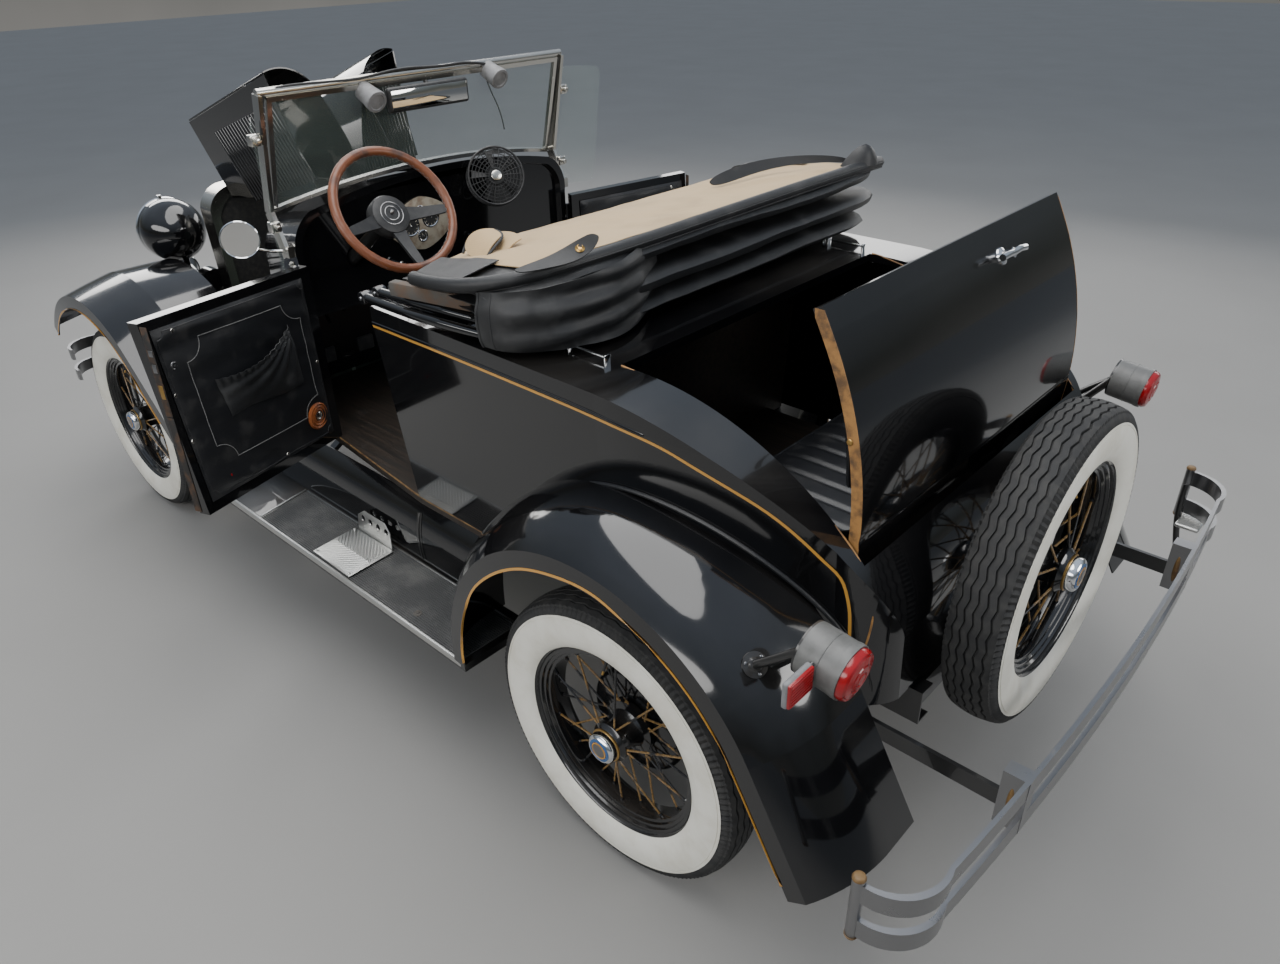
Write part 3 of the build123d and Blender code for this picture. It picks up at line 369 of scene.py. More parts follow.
def finish(name, build, **fixed):
    material = bpy.data.materials.new(name)
    material.use_nodes = True
    tree = material.node_tree
    shader = tree.nodes["Principled BSDF"]
    wire = Wire(tree)
    for key, value in fixed.items():
        wire.feed(value, shader.inputs[key.replace("_", " ")])
    for key, value in build(wire).items():
        wire.feed(value, shader.inputs[key])
    return material


def paintFinish(name, colour, rough=0.065, dust=0.35, dustColour=(0.10, 0.09, 0.075), chips=0.0):
    def build(w):
        place = w.place()
        cloud, fine = w.noise(place, 2.3, 6), w.noise(place, 60, 4)
        film = w.step(w.upward(), 0.15, 0.9) * w.step(cloud, 0.42, 0.75) * dust
        worn = w.step(w.noise(place, 26, 8, 0.7), 0.66, 0.72) * chips
        return {
            "Base Color": w.mix(film * 0.35 + worn, colour, dustColour),
            "Roughness": film * 0.3 + worn * 0.5 + fine * 0.05 + rough,
            "Normal": w.bump(w.noise(place, 90, 2), 0.03, 0.0002),
        }
    return finish(name, build, IOR=1.5, Coat_Weight=0.6, Coat_Roughness=0.03)


def brightFinish(name, colour, rough=0.12, spots=0.35, spotColour=(0.16, 0.12, 0.08)):
    def build(w):
        place = w.place()
        pits = w.step(w.noise(place, 55, 8, 0.65), 0.6, 0.75) * spots
        haze = w.noise(place, 9, 5)
        return {
            "Base Color": w.mix(pits, colour, spotColour),
            "Roughness": haze * 0.14 + pits * 0.4 + rough,
            "Metallic": 1 - pits * 0.6,
            "Normal": w.bump(w.noise(place, 180, 4), 0.05 + spots * 0.1, 0.0004),
        }
    return finish(name, build)


def leatherFinish(name, colour, rough=0.42, grain=420, wear=0.3, wearColour=(0.05, 0.048, 0.045)):
    def build(w):
        place = w.place()
        cells = w.node("ShaderNodeTexVoronoi", {"feature": "DISTANCE_TO_EDGE"},
                       {"Vector": place, "Scale": grain})
        soft = w.noise(place, 14, 6)
        rubbed = w.step(soft, 0.52, 0.72) * wear
        crease = w.noise(place, 46, 7, 0.65)
        return {
            "Base Color": w.mix(rubbed, colour, wearColour),
            "Roughness": soft * 0.2 + rubbed * 0.15 + rough - 0.1,
            "Normal": w.bump(w.step(cells, 0.0, 0.12), 0.22, 0.0004, w.bump(crease, 0.25, 0.0016)),
        }
    return finish(name, build, Coat_Weight=0.08, Coat_Roughness=0.3)


def castFinish(name, colour, other, rough=0.6, scale=18, depth=0.001):
    def build(w):
        place = w.place()
        blotch = w.noise(place, scale, 8, 0.62)
        grit = w.noise(place, scale * 14, 3)
        return {
            "Base Color": w.mix(w.step(blotch, 0.4, 0.68), colour, other),
            "Roughness": blotch * 0.25 + rough - 0.1,
            "Normal": w.bump(grit + blotch, 0.3, depth),
        }
    return finish(name, build)


def clothFinish(name, colour, other, threads=900, rough=0.9):
    def build(w):
        place = w.place()
        x, y = w.parts(place)[:2]
        weft = abs(w.math("SINE", x * threads))
        warp = abs(w.math("SINE", y * threads))
        weave = weft * warp
        stain = w.step(w.noise(place, 5, 7, 0.6), 0.45, 0.75)
        return {
            "Base Color": w.mix(stain * 0.6 + weave * 0.25, colour, other),
            "Roughness": weave * 0.1 + rough - 0.1,
            "Normal": w.bump(weave, 0.35, 0.0006, w.bump(w.noise(place, 30, 5), 0.2, 0.002)),
        }
    return finish(name, build, Sheen_Weight=0.15)


def woodFinish(name, colour, other, along="x", rough=0.55):
    def build(w):
        stretch = {"x": (1.2, 26, 26), "y": (26, 1.2, 26), "z": (26, 26, 1.2)}[along]
        grain = w.noise(w.moved(w.place(), stretch=stretch), 3, 8, 0.6)
        scuffs = w.step(w.noise(w.place(), 11, 8, 0.7), 0.55, 0.7)
        return {
            "Base Color": w.mix(w.step(grain, 0.35, 0.65), colour, other),
            "Roughness": scuffs * 0.2 + rough,
            "Normal": w.bump(grain + scuffs * 0.5, 0.3, 0.0012),
        }
    return finish(name, build)


blackPaint = paintFinish("gloss_black_paint", (0.0035, 0.0035, 0.004))
chassisPaint = paintFinish("chassis_black", (0.009, 0.009, 0.009), rough=0.28, dust=0.9, chips=0.25,
                           dustColour=(0.11, 0.085, 0.06))
wheelPaint = paintFinish("wheel_black", (0.006, 0.006, 0.0065), rough=0.12, dust=0.5,
                         dustColour=(0.12, 0.1, 0.08))
ochrePaint = paintFinish("ochre_stripe", (0.52, 0.26, 0.045), rough=0.22, dust=0.2)
edgeOchre = castFinish("worn_ochre_edge", (0.36, 0.18, 0.055), (0.10, 0.055, 0.025), rough=0.55, scale=34)
chrome = brightFinish("chrome", (0.78, 0.79, 0.80), rough=0.05, spots=0.1)
nickel = brightFinish("nickel", (0.62, 0.60, 0.55), rough=0.14, spots=0.3)
dullSilver = brightFinish("dull_silver", (0.27, 0.27, 0.275), rough=0.22, spots=0.45,
                          spotColour=(0.22, 0.2, 0.18))
aluminium = brightFinish("aluminium", (0.60, 0.60, 0.58), rough=0.3, spots=0.4, spotColour=(0.25, 0.24, 0.22))
brass = brightFinish("old_brass", (0.48, 0.30, 0.10), rough=0.28, spots=0.6, spotColour=(0.12, 0.06, 0.02))
rustySteel = castFinish("rusty_steel", (0.082, 0.075, 0.066), (0.105, 0.068, 0.045), rough=0.8, scale=20)
engineIron = castFinish("engine_green", (0.035, 0.055, 0.042), (0.02, 0.022, 0.02), rough=0.5, scale=12)
coreIron = castFinish("radiator_fins", (0.012, 0.012, 0.012), (0.03, 0.028, 0.025), rough=0.6, scale=60)
blackVinyl = leatherFinish("black_vinyl", (0.0095, 0.0100, 0.0115), rough=0.36)
leatherCloth = leatherFinish("black_leathercloth", (0.0115, 0.012, 0.013), rough=0.50, grain=700, wear=0.5,
                             wearColour=(0.050, 0.050, 0.050))
tanCanvas = clothFinish("tan_lining", (0.47, 0.33, 0.17), (0.30, 0.205, 0.10))
brownBoard = woodFinish("brown_board", (0.028, 0.019, 0.013), (0.010, 0.008, 0.006))
brownLeather = leatherFinish("rim_leather", (0.155, 0.050, 0.020), rough=0.34, grain=200, wear=0.9,
                             wearColour=(0.035, 0.015, 0.010))
rubber = castFinish("black_rubber", (0.018, 0.018, 0.018), (0.035, 0.034, 0.032), rough=0.72, scale=40,
                    depth=0.0004)
whiteRubber = castFinish("white_rubber", (0.78, 0.76, 0.68), (0.68, 0.65, 0.56), rough=0.55, scale=9,
                         depth=0.0003)
blueEnamel = paintFinish("blue_enamel", (0.02, 0.09, 0.24), rough=0.2, dust=0.1)
redLens = finish("red_lens", lambda w: {
    "Base Color": w.mix(w.noise(w.place(), 30, 2), (0.36, 0.004, 0.007), (0.20, 0.002, 0.005)),
    "Roughness": w.noise(w.place(), 20, 3) * 0.1 + 0.16}, Coat_Weight=0.25, IOR=1.5)
amberLens = finish("amber_lens", lambda w: {
    "Base Color": w.mix(w.noise(w.place(), 30, 2), (0.75, 0.22, 0.02), (0.55, 0.12, 0.01)),
    "Roughness": w.noise(w.place(), 20, 3) * 0.1 + 0.1}, Coat_Weight=0.6)
lampGlass = finish("lamp_glass", lambda w: {
    "Base Color": w.mix(w.noise(w.place(), 40, 2), (0.62, 0.66, 0.66), (0.45, 0.48, 0.48)),
    "Roughness": w.noise(w.place(), 25, 3) * 0.08 + 0.04,
    "Normal": w.bump(w.math("SINE", w.parts(w.place())[1] * 420), 0.25, 0.001)}, Coat_Weight=1.0)
mirrorGlass = finish("mirror_glass", lambda w: {
    "Base Color": w.mix(w.noise(w.place(), 12, 3), (0.72, 0.72, 0.70), (0.64, 0.63, 0.60)),
    "Roughness": w.noise(w.place(), 12, 3) * 0.05 + 0.02}, Metallic=1.0)
clearGlass = finish("clear_glass", lambda w: {
    "Roughness": w.noise(w.place(), 6, 3) * 0.02 + 0.01,
    "Alpha": w.noise(w.place(), 4, 3) * 0.04 + 0.06}, Base_Color=(0.34, 0.42, 0.38, 1), Coat_Weight=0.5,
                    IOR=1.5)
goldSpoke = finish("gold_banded_spoke", lambda w: {
    "Base Color": w.mix((w.math("FRACT", w.parts(w.node("ShaderNodeTexCoord", out="UV"))[1] * 24
                                + w.parts(w.node("ShaderNodeTexCoord", out="UV"))[0] * 8) < 0.45)
                        * w.step(w.noise(w.place(), 9, 3), 0.45, 0.5),
                        (0.006, 0.006, 0.0065), (0.42, 0.24, 0.07)),
    "Roughness": w.noise(w.place(), 30, 3) * 0.15 + 0.2}, Coat_Weight=0.4)

nodeFinishes = {
    blackPaint: ["rear_body_centre", "rumble_lid", "cowl", "quarter_panel_left", "quarter_panel_right",
                 "door_left", "door_right", "bonnet_top_left", "bonnet_top_right", "bonnet_side_left",
                 "bonnet_side_right", "fenders_front", "fenders_rear", "splash_aprons", "headlamps_horn",
                 "dash_panel"],
    chassisPaint: ["frame_rails", "front_axle", "rear_axle", "leaf_springs", "track_rod", "knuckle_left",
                   "knuckle_right", "spare_carrier", "steering_column", "running_boards", "tail_lamps"],
    nickel: ["radiator_shell", "windscreen_frame", "bonnet_rod"],
    dullSilver: ["front_bumper", "rear_bumper"],
    rustySteel: ["exhaust"],
    engineIron: ["engine_gearbox"],
    coreIron: ["radiator_core"],
    brownBoard: ["cockpit_floor", "rumble_tub", "seat_base", "rumble_base"],
    blackVinyl: ["seat_cushion", "seat_back", "rumble_cushion", "rumble_lid_pad"],
    leatherCloth: ["folded_top"],
    brownLeather: ["steering_wheel"],
    clearGlass: ["windscreen_glass"],
    rubber: [name for name in nodes if name.startswith("tyre_")],
    wheelPaint: [name for name in nodes if name.startswith("wheel_")],
}
for material, names in nodeFinishes.items():
    for name in names:
        for place in range(len(nodes[name].material_slots)):
            nodes[name].material_slots[place].material = material
print("finishes made")


# Camera, floor and light

viewSet = {"place": (-1.15372, 1.85645, 2.02488), "yaw": -0.81605, "pitch": 0.53229, "roll": 0.02446,
           "lens": 26.343}


def addCamera():
    camera = bpy.data.objects.new("camera", bpy.data.cameras.new("camera"))
    camera.data.lens = viewSet["lens"]
    camera.data.sensor_width = 36
    camera.data.clip_start = 0.02
    bpy.context.scene.collection.objects.link(camera)
    yaw, pitch, roll = viewSet["yaw"], viewSet["pitch"], viewSet["roll"]
    ahead = Vector((math.cos(yaw) * math.cos(pitch), math.sin(yaw) * math.cos(pitch), -math.sin(pitch)))
    side = ahead.cross(Vector((0, 0, 1))).normalized()
    down = ahead.cross(side)
    right = side * math.cos(roll) + down * math.sin(roll)
    lower = ahead.cross(right)
    turn = Matrix((right, -lower, -ahead)).transposed().to_4x4()
    camera.matrix_world = Matrix.Translation(at(*viewSet["place"])) @ turn
    bpy.context.scene.camera = camera


lightSet = {
    "over": {"place": (1.2, 0.2, 4.6), "aim": (1.0, 0, 0), "size": (7.5, 3.2), "power": 260},
    "left": {"place": (0.6, 5.2, 2.8), "aim": (0.9, 0, 0.6), "size": (7.0, 1.6), "power": 150},
    "behind": {"place": (-5.0, -1.2, 3.0), "aim": (0, 0, 0.6), "size": (3.6, 1.8), "power": 120},
    "front": {"place": (6.5, -1.5, 3.0), "aim": (1.8, 0, 0.8), "size": (4.5, 1.8), "power": 130},
    "right": {"place": (1.5, -5.4, 2.4), "aim": (1.0, 0, 0.6), "size": (7.0, 1.5), "power": 90},
}

skySet = {"lamp": (1.0, 0.985, 0.96), "strength": 0.75, "floor": 60}


def addLights():
    for name, each in lightSet.items():
        lamp = bpy.data.objects.new(f"light_{name}", bpy.data.lights.new(f"light_{name}", "AREA"))
        lamp.data.shape = "ELLIPSE"
        lamp.data.size, lamp.data.size_y = each["size"]
        lamp.data.energy = each["power"]
        lamp.data.color = skySet["lamp"]
        bpy.context.scene.collection.objects.link(lamp)
        place, aim = at(*each["place"]), at(*each["aim"])
        lamp.matrix_world = Matrix.Translation(place) @ facing(aim - place, "-Z")
    world = bpy.data.worlds.new("studio")
    world.use_nodes = True
    bpy.context.scene.world = world
    sky = Wire(world.node_tree)
    height = sky.parts(sky.node("ShaderNodeTexCoord", out="Generated"))[2]
    cloud = sky.noise(sky.node("ShaderNodeTexCoord", out="Generated"), 2.2, 5)
    colour = sky.ramp(height * 0.5 + 0.42 + cloud * 0.16, (0.45, (0.30, 0.29, 0.275)),
                      (0.52, (0.13, 0.14, 0.13)), (0.64, (0.34, 0.39, 0.45)), (0.9, (0.72, 0.82, 0.98)))
    world.node_tree.links.new(colour.socket, world.node_tree.nodes["Background"].inputs[0])
    world.node_tree.nodes["Background"].inputs[1].default_value = skySet["strength"]


def addFloor():
    bpy.ops.object.select_all(action="DESELECT")
    bpy.ops.mesh.primitive_plane_add(size=skySet["floor"], location=at(1, 0, -0.001))
    floor = bpy.context.object
    floor.name = "floor"
    inked(floor, finish("grey_floor", lambda w: {
        "Base Color": w.mix(w.noise(w.place(), 1.2, 5), (0.235, 0.228, 0.215), (0.275, 0.268, 0.255)),
        "Roughness": w.noise(w.place(), 3, 4) * 0.1 + 0.8}))


addCamera()
addLights()
addFloor()
print("camera, light and floor set")


# Tyres and wire wheels

tyreSet = {"radius": 0.3775, "half": 0.050, "crown": 0.009, "waves": 48, "perWave": 6, "zigzag": 0.003,
           "grooves": (-0.036, -0.018, 0, 0.018, 0.036), "grooveHalf": 0.0026, "grooveDeep": 0.006,
           "notch": 0.0035, "shoulder": 0.0045, "whiteIn": 0.2575, "whiteOut": 0.345, "whiteHigh": 0.045,
           "treadFrom": 0.362, "treadHalf": 0.045, "notchFrom": 0.3595, "notchHalf": 0.046,
           "shoulderFrom": 0.3455, "shoulderTo": 0.3640, "shoulderHalf": 0.05, "smooth": 28}
wheelSet = {"rim": 0.222, "sunk": 0.003, "lace": 26, "outerShare": 0.6, "nipple": (0.0045, 0.0055),
            "spokes": 30, "spokeRadius": 0.0027, "hubFar": 0.046, "hubNear": 0.062, "cap": 0.040,
            "capFace": 0.084, "drum": 0.139}


def crown(y):
    # the tread is lower at its edges
    return tyreSet["radius"] - tyreSet["crown"] * (y / tyreSet["half"]) ** 2


def tyreProfile():
    wall = [(0.246, 0.036), (0.251, 0.046), (0.256, 0.0505), (0.262, 0.0555), (0.274, 0.0605),
            (0.290, 0.0645), (0.306, 0.0662), (0.322, 0.0655), (0.333, 0.0638), (0.3372, 0.0630),
            (0.3378, 0.0612), (0.3396, 0.0608), (0.3402, 0.0624), (0.345, 0.0612), (0.3458, 0.0618),
            (0.352, 0.0606), (0.3585, 0.0575), (0.3635, 0.0535)]
    edge = tyreSet["half"]
    tread = [(crown(edge), edge)]
    for y in reversed(tyreSet["grooves"]):
        half, deep = tyreSet["grooveHalf"], tyreSet["grooveDeep"]
        tread += [(crown(y + half), y + half), (crown(y) - deep, y + half * 0.6),
                  (crown(y) - deep, y - half * 0.6), (crown(y - half), y - half)]
    tread.append((crown(edge), -edge))
    back = [(radius, -y) for radius, y in reversed(wall)]
    inside = [(0.252, -0.030), (0.272, -0.046), (0.310, -0.054), (0.345, -0.042), (0.355, 0.0),
              (0.345, 0.042), (0.310, 0.054), (0.272, 0.046), (0.252, 0.030)]
    return [*wall, *tread, *back, *inside, wall[0]]


def tyreMaster():
    tyre = spun(tyreProfile(), (0, 0, 0), (0, 0, 1), tyreSet["waves"] * tyreSet["perWave"])
    for vertex in tyre.data.vertices:
        x, y, z = vertex.co
        radius, angle = math.hypot(x, y), math.atan2(y, x)
        phase = (angle / (2 * math.pi) * tyreSet["waves"]) % 1
        wave = 4 * abs(phase - 0.5) - 1
        if radius > tyreSet["treadFrom"] and abs(z) < tyreSet["treadHalf"]:
            vertex.co.z += tyreSet["zigzag"] * wave
        cut = round(phase * tyreSet["perWave"]) % 2 == 0
        if cut and radius > tyreSet["notchFrom"] and abs(z) > tyreSet["notchHalf"]:
            share = 1 - tyreSet["notch"] / radius
            vertex.co.x, vertex.co.y = x * share, y * share
        onShoulder = tyreSet["shoulderFrom"] < radius < tyreSet["shoulderTo"]
        if cut and onShoulder and abs(z) > tyreSet["shoulderHalf"]:
            vertex.co.z -= math.copysign(tyreSet["shoulder"], z)
    inked(tyre, rubber)
    tyre.data.materials.append(whiteRubber)
    for face in tyre.data.polygons:
        radius = math.hypot(face.center.x, face.center.y)
        if tyreSet["whiteIn"] < radius < tyreSet["whiteOut"] and face.center.z > tyreSet["whiteHigh"]:
            face.material_index = 1
    return tyre


def rimParts():
    shape = [(0.2615, 0.0465), (0.2600, 0.0490), (0.2550, 0.0500), (0.2520, 0.0480), (0.2490, 0.0415),
             (0.2420, 0.0405), (0.2400, 0.0345), (0.2330, 0.0335), (0.2310, 0.0270), (0.2245, 0.0255),
             (0.2220, 0.0150), (0.2205, 0.0000), (0.2220, -0.0150), (0.2245, -0.0255), (0.2400, -0.0345),
             (0.2490, -0.0415), (0.2550, -0.0490), (0.2610, -0.0480), (0.2600, -0.0420), (0.2480, -0.0360),
             (0.2360, -0.0220), (0.2340, 0.0), (0.2360, 0.0220), (0.2480, 0.0360), (0.2600, 0.0420),
             (0.2615, 0.0465)]
    return inked(spun(shape, (0, 0, 0), (0, 0, 1), 96), wheelPaint)


def spokeParts():
    # an outer set from the far flange and a crossed inner set from the near one
    parts = []
    count, lace = wheelSet["spokes"], wheelSet["lace"]
    reach = wheelSet["rim"] + wheelSet["sunk"]
    for i in range(count):
        around = 2 * math.pi * i / count
        outer = i % 3 == 0
        lean = math.radians(lace if i % 2 else -lace) * (wheelSet["outerShare"] if outer else 1)
        hub = (wheelSet["hubFar"], 0.040) if outer else (wheelSet["hubNear"], -0.026)
        rimHigh = 0.012 if outer else -0.008
        start = Vector((hub[0] * math.cos(around + lean), hub[0] * math.sin(around + lean), hub[1]))
        end = Vector((reach * math.cos(around), reach * math.sin(around), rimHigh))
        parts.append(inked(rod(start, end, wheelSet["spokeRadius"], sides=10), goldSpoke))
        foot = start.lerp(end, 0.95)
        parts.append(inked(rod(foot, end, *wheelSet["nipple"], sides=8), wheelPaint))
    return parts


def hubParts():
    shell = [(0, -0.046), (0.060, -0.046), (0.070, -0.034), (0.070, -0.022), (0.052, -0.018), (0.042, 0.0),
             (0.040, 0.026), (0.052, 0.032), (0.052, 0.044), (0.046, 0.050), (0.043, 0.056), (0, 0.056)]
    parts = [inked(spun(shell, (0, 0, 0), (0, 0, 1), 48), wheelPaint)]
    face, cap = wheelSet["capFace"], wheelSet["cap"]
    for material, shape in (
            (brass, [(0, 0.055), (0.0435, 0.055), (0.0435, 0.0585), (0.041, 0.0600), (0, 0.0600)]),
            (chrome, [(0, 0.0595), (cap, 0.0595), (0.0395, 0.074), (0.037, face - 0.006),
                      (0.033, face - 0.003), (0.030, face - 0.0035), (0, face - 0.0035)]),
            (blueEnamel, [(0.0302, face - 0.0040), (0.0300, face - 0.0025), (0.024, face - 0.0015),
                          (0.0225, face - 0.0030), (0.0302, face - 0.0040)]),
            (ochrePaint, [(0.0223, face - 0.0040), (0.0220, face - 0.0012), (0.019, face - 0.0008),
                          (0.018, face - 0.0030), (0.0223, face - 0.0040)]),
            (dullSilver, [(0, face - 0.0040), (0.0178, face - 0.0040), (0.0175, face - 0.0010), (0.010, face),
                          (0, face)])):
        parts.append(inked(spun(shape, (0, 0, 0), (0, 0, 1), 48), material))
    return parts


def drumParts():
    drum = wheelSet["drum"]
    shape = [(0.060, -0.040), (drum - 0.012, -0.042), (drum - 0.004, -0.046), (drum, -0.052),
             (drum - 0.003, -0.055), (drum, -0.058), (drum - 0.003, -0.062), (drum, -0.066),
             (drum - 0.002, -0.078), (drum - 0.008, -0.080), (drum - 0.010, -0.052), (0.060, -0.050),
             (0.060, -0.040)]
    return [inked(spun(shape, (0, 0, 0), (0, 0, 1), 64), wheelPaint)]


def valvePart():
    return [inked(rod((0.226, 0.02, 0.020), (0.200, 0.02, 0.034), 0.0042, 0.0032, 12), rubber),
            inked(rod((0.201, 0.02, 0.0335), (0.193, 0.02, 0.038), 0.0036, 0.003, 12), brass)]


def fitted(master, name, centre, outward, body, node):
    copied = master.copy()
    copied.data = master.data.copy()
    bpy.context.scene.collection.objects.link(copied)
    copied.data.transform(Matrix.Translation(centre) @ facing(outward, up="X"))
    copied.name = copied.data.name = name
    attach(copied, body)
    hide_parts(node)


def addWheels():
    tyre = tyreMaster()
    only(tyre)
    bpy.ops.object.shade_smooth_by_angle(angle=math.radians(tyreSet["smooth"]))
    spare = joinedRaw([rimParts(), *spokeParts(), *hubParts(), *valvePart()])
    road = spare.copy()
    road.data = spare.data.copy()
    bpy.context.scene.collection.objects.link(road)
    road = joinedRaw([road, *drumParts()])
    for corner in ("front_left", "front_right", "rear_left", "rear_right"):
        outward = (0, 1 if corner.endswith("left") else -1, 0)
        centre = middle(f"tyre_{corner}")
        fitted(tyre, f"tread_{corner}", centre, outward, f"wheel_{corner}", f"tyre_{corner}")
        fitted(road, f"wire_wheel_{corner}", centre, outward, f"wheel_{corner}",
               f"wheel_{corner}")
    centre = middle("tyre_spare")
    fitted(tyre, "tread_spare", centre, (-1, 0, 0), "car", "tyre_spare")
    fitted(spare, "wire_wheel_spare", centre, (-1, 0, 0), "car", "wheel_spare")
    for master in (tyre, spare, road):
        bpy.data.objects.remove(master)


def joinedRaw(parts):
    bpy.ops.object.select_all(action="DESELECT")
    for part in parts:
        part.select_set(True)
    bpy.context.view_layer.objects.active = parts[0]
    bpy.ops.object.join()
    whole = bpy.context.view_layer.objects.active
    only(whole)
    bpy.ops.object.shade_smooth_by_angle(angle=math.radians(35))
    return whole


addWheels()
print("tyres and wire wheels built")


# Seats and pads

padSet = {
    "seat_cushion": {"name": "seat_cushion_vinyl", "body": "car", "round": 0.034, "voxel": 0.012,
                     "shrink": 0.010, "cap": 0.013, "fill": 0.7, "face": (0, 0, 1), "spacing": 0.082,
                     "deep": 0.007},
    "seat_back": {"name": "seat_back_vinyl", "body": "car", "round": 0.034, "voxel": 0.012, "shrink": 0.010,
                  "cap": 0.013, "fill": 0.7, "face": (1, 0, 0.1), "spacing": 0.082, "deep": 0.007},
    "rumble_cushion": {"name": "rumble_cushion_vinyl", "body": "car", "round": 0.028, "voxel": 0.011,
                       "shrink": 0.009, "cap": 0.012, "fill": 0.7, "face": (0, 0, 1), "spacing": 0.076,
                       "deep": 0.007},
    "rumble_lid_pad": {"name": "rumble_back_vinyl", "body": "rumble_lid", "round": 0.022, "voxel": 0.009,
                       "shrink": 0.007, "cap": 0.010, "fill": 0.6, "face": (0.968, 0, -0.249),
                       "spacing": 0.088, "deep": 0.005},
}

clothSet = {"pressure": 4, "frames": 20, "seam": 0.007, "margin": 0.05, "piping": 0.0042,
            "pipingLift": 0.0022, "pipingDrop": 0.014, "pipingSteps": 14}


def swell(pad, cap):
    # air pressure inside the cover, and no point moves further than the cap
    start = np.array([vertex.co for vertex in pad.data.vertices])
    only(pad)
    cloth = pad.modifiers.new("Cloth", "CLOTH")
    cloth.settings.use_pressure = True
    cloth.settings.uniform_pressure_force = clothSet["pressure"]
    cloth.settings.effector_weights.gravity = 0
    cloth.point_cache.frame_start, cloth.point_cache.frame_end = 1, clothSet["frames"]
    for number in range(1, clothSet["frames"] + 1):
        bpy.context.scene.frame_set(number)
    swollen = pad.evaluated_get(bpy.context.evaluated_depsgraph_get()).data
    end = np.array([vertex.co for vertex in swollen.vertices])
    pad.modifiers.remove(cloth)
    bpy.context.scene.frame_set(1)
    shift = end - start
    reach = np.maximum(np.linalg.norm(shift, axis=1, keepdims=True), 1e-9)
    pad.data.vertices.foreach_set("co", (start + shift * np.minimum(1, cap / reach)).ravel())
    pad.data.update()


def sewn(pad, face, spacing, deep):
    # sewn channels, front to back, in the pad's face
    face = np.array(Vector(face).normalized())
    count = len(pad.data.vertices)
    places, normals = np.zeros(count * 3), np.zeros(count * 3)
    pad.data.vertices.foreach_get("co", places)
    pad.data.vertices.foreach_get("normal", normals)
    places, normals = places.reshape(-1, 3), normals.reshape(-1, 3)
    side = places[:, 1] / spacing + 0.5
    gap = np.abs(side - np.round(side)) * spacing
    out = np.abs(places[:, 1])
    inner = np.clip((out.max() - out) / clothSet["margin"], 0, 1)
    sink = deep * np.exp(-(gap / clothSet["seam"]) ** 2) * np.clip(normals @ face, 0, 1) * inner
    places -= sink[:, None] * face
    pad.data.vertices.foreach_set("co", places.ravel())
    pad.data.update()


def addPads():
    for node, each in padSet.items():
        pad = bpy.data.objects.new(each["name"], nodes[node].data.copy())
        bpy.context.scene.collection.objects.link(pad)
        low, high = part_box(node)
        rightOut(pad)
        modified(pad, "BEVEL", width=each["round"], segments=3, limit_method="ANGLE")
        modified(pad, "REMESH", mode="VOXEL", voxel_size=each["voxel"])
        modified(pad, "DISPLACE", strength=-each["shrink"], mid_level=0)
        swell(pad, each["cap"])
        modified(pad, "SUBSURF", levels=1, render_levels=1)
        sewn(pad, each["face"], each["spacing"], each["deep"])
        inked(pad, blackVinyl)
        only(pad)
        bpy.ops.object.shade_smooth()
        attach(pad, each["body"])
        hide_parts(node)
        addPiping(pad, each, low, high)


def addPiping(pad, each, low, high):
    tree = skin(pad.name)
    if each["face"][2] > 0.5:
        ring = [(low.x, low.y), (high.x, low.y), (high.x, high.y), (low.x, high.y)]
        corners = [Vector((x, y, high.z - clothSet["pipingDrop"])) for x, y in ring]
    else:
        x = high.x if each["body"] == "car" else (low.x + high.x) / 2
        corners = [Vector((x, low.y, low.z)), Vector((x, high.y, low.z)), Vector((x, high.y, high.z)),
                   Vector((x, low.y, high.z))]
    loop, steps = [], clothSet["pipingSteps"]
    for a, b in zip(corners, corners[1:] + corners[:1]):
        loop += [a.lerp(b, k / steps) for k in range(steps)]
    found = [tree.find_nearest(point)[:2] for point in loop]
    cord = tube([place + normal * clothSet["pipingLift"] for place, normal in found], clothSet["piping"],
                closed=True)
    piece(f"{each['name']}_piping", [cord], blackVinyl, each["body"], "black_vinyl")


addPads()
print("seats and pads built")


# Folded top

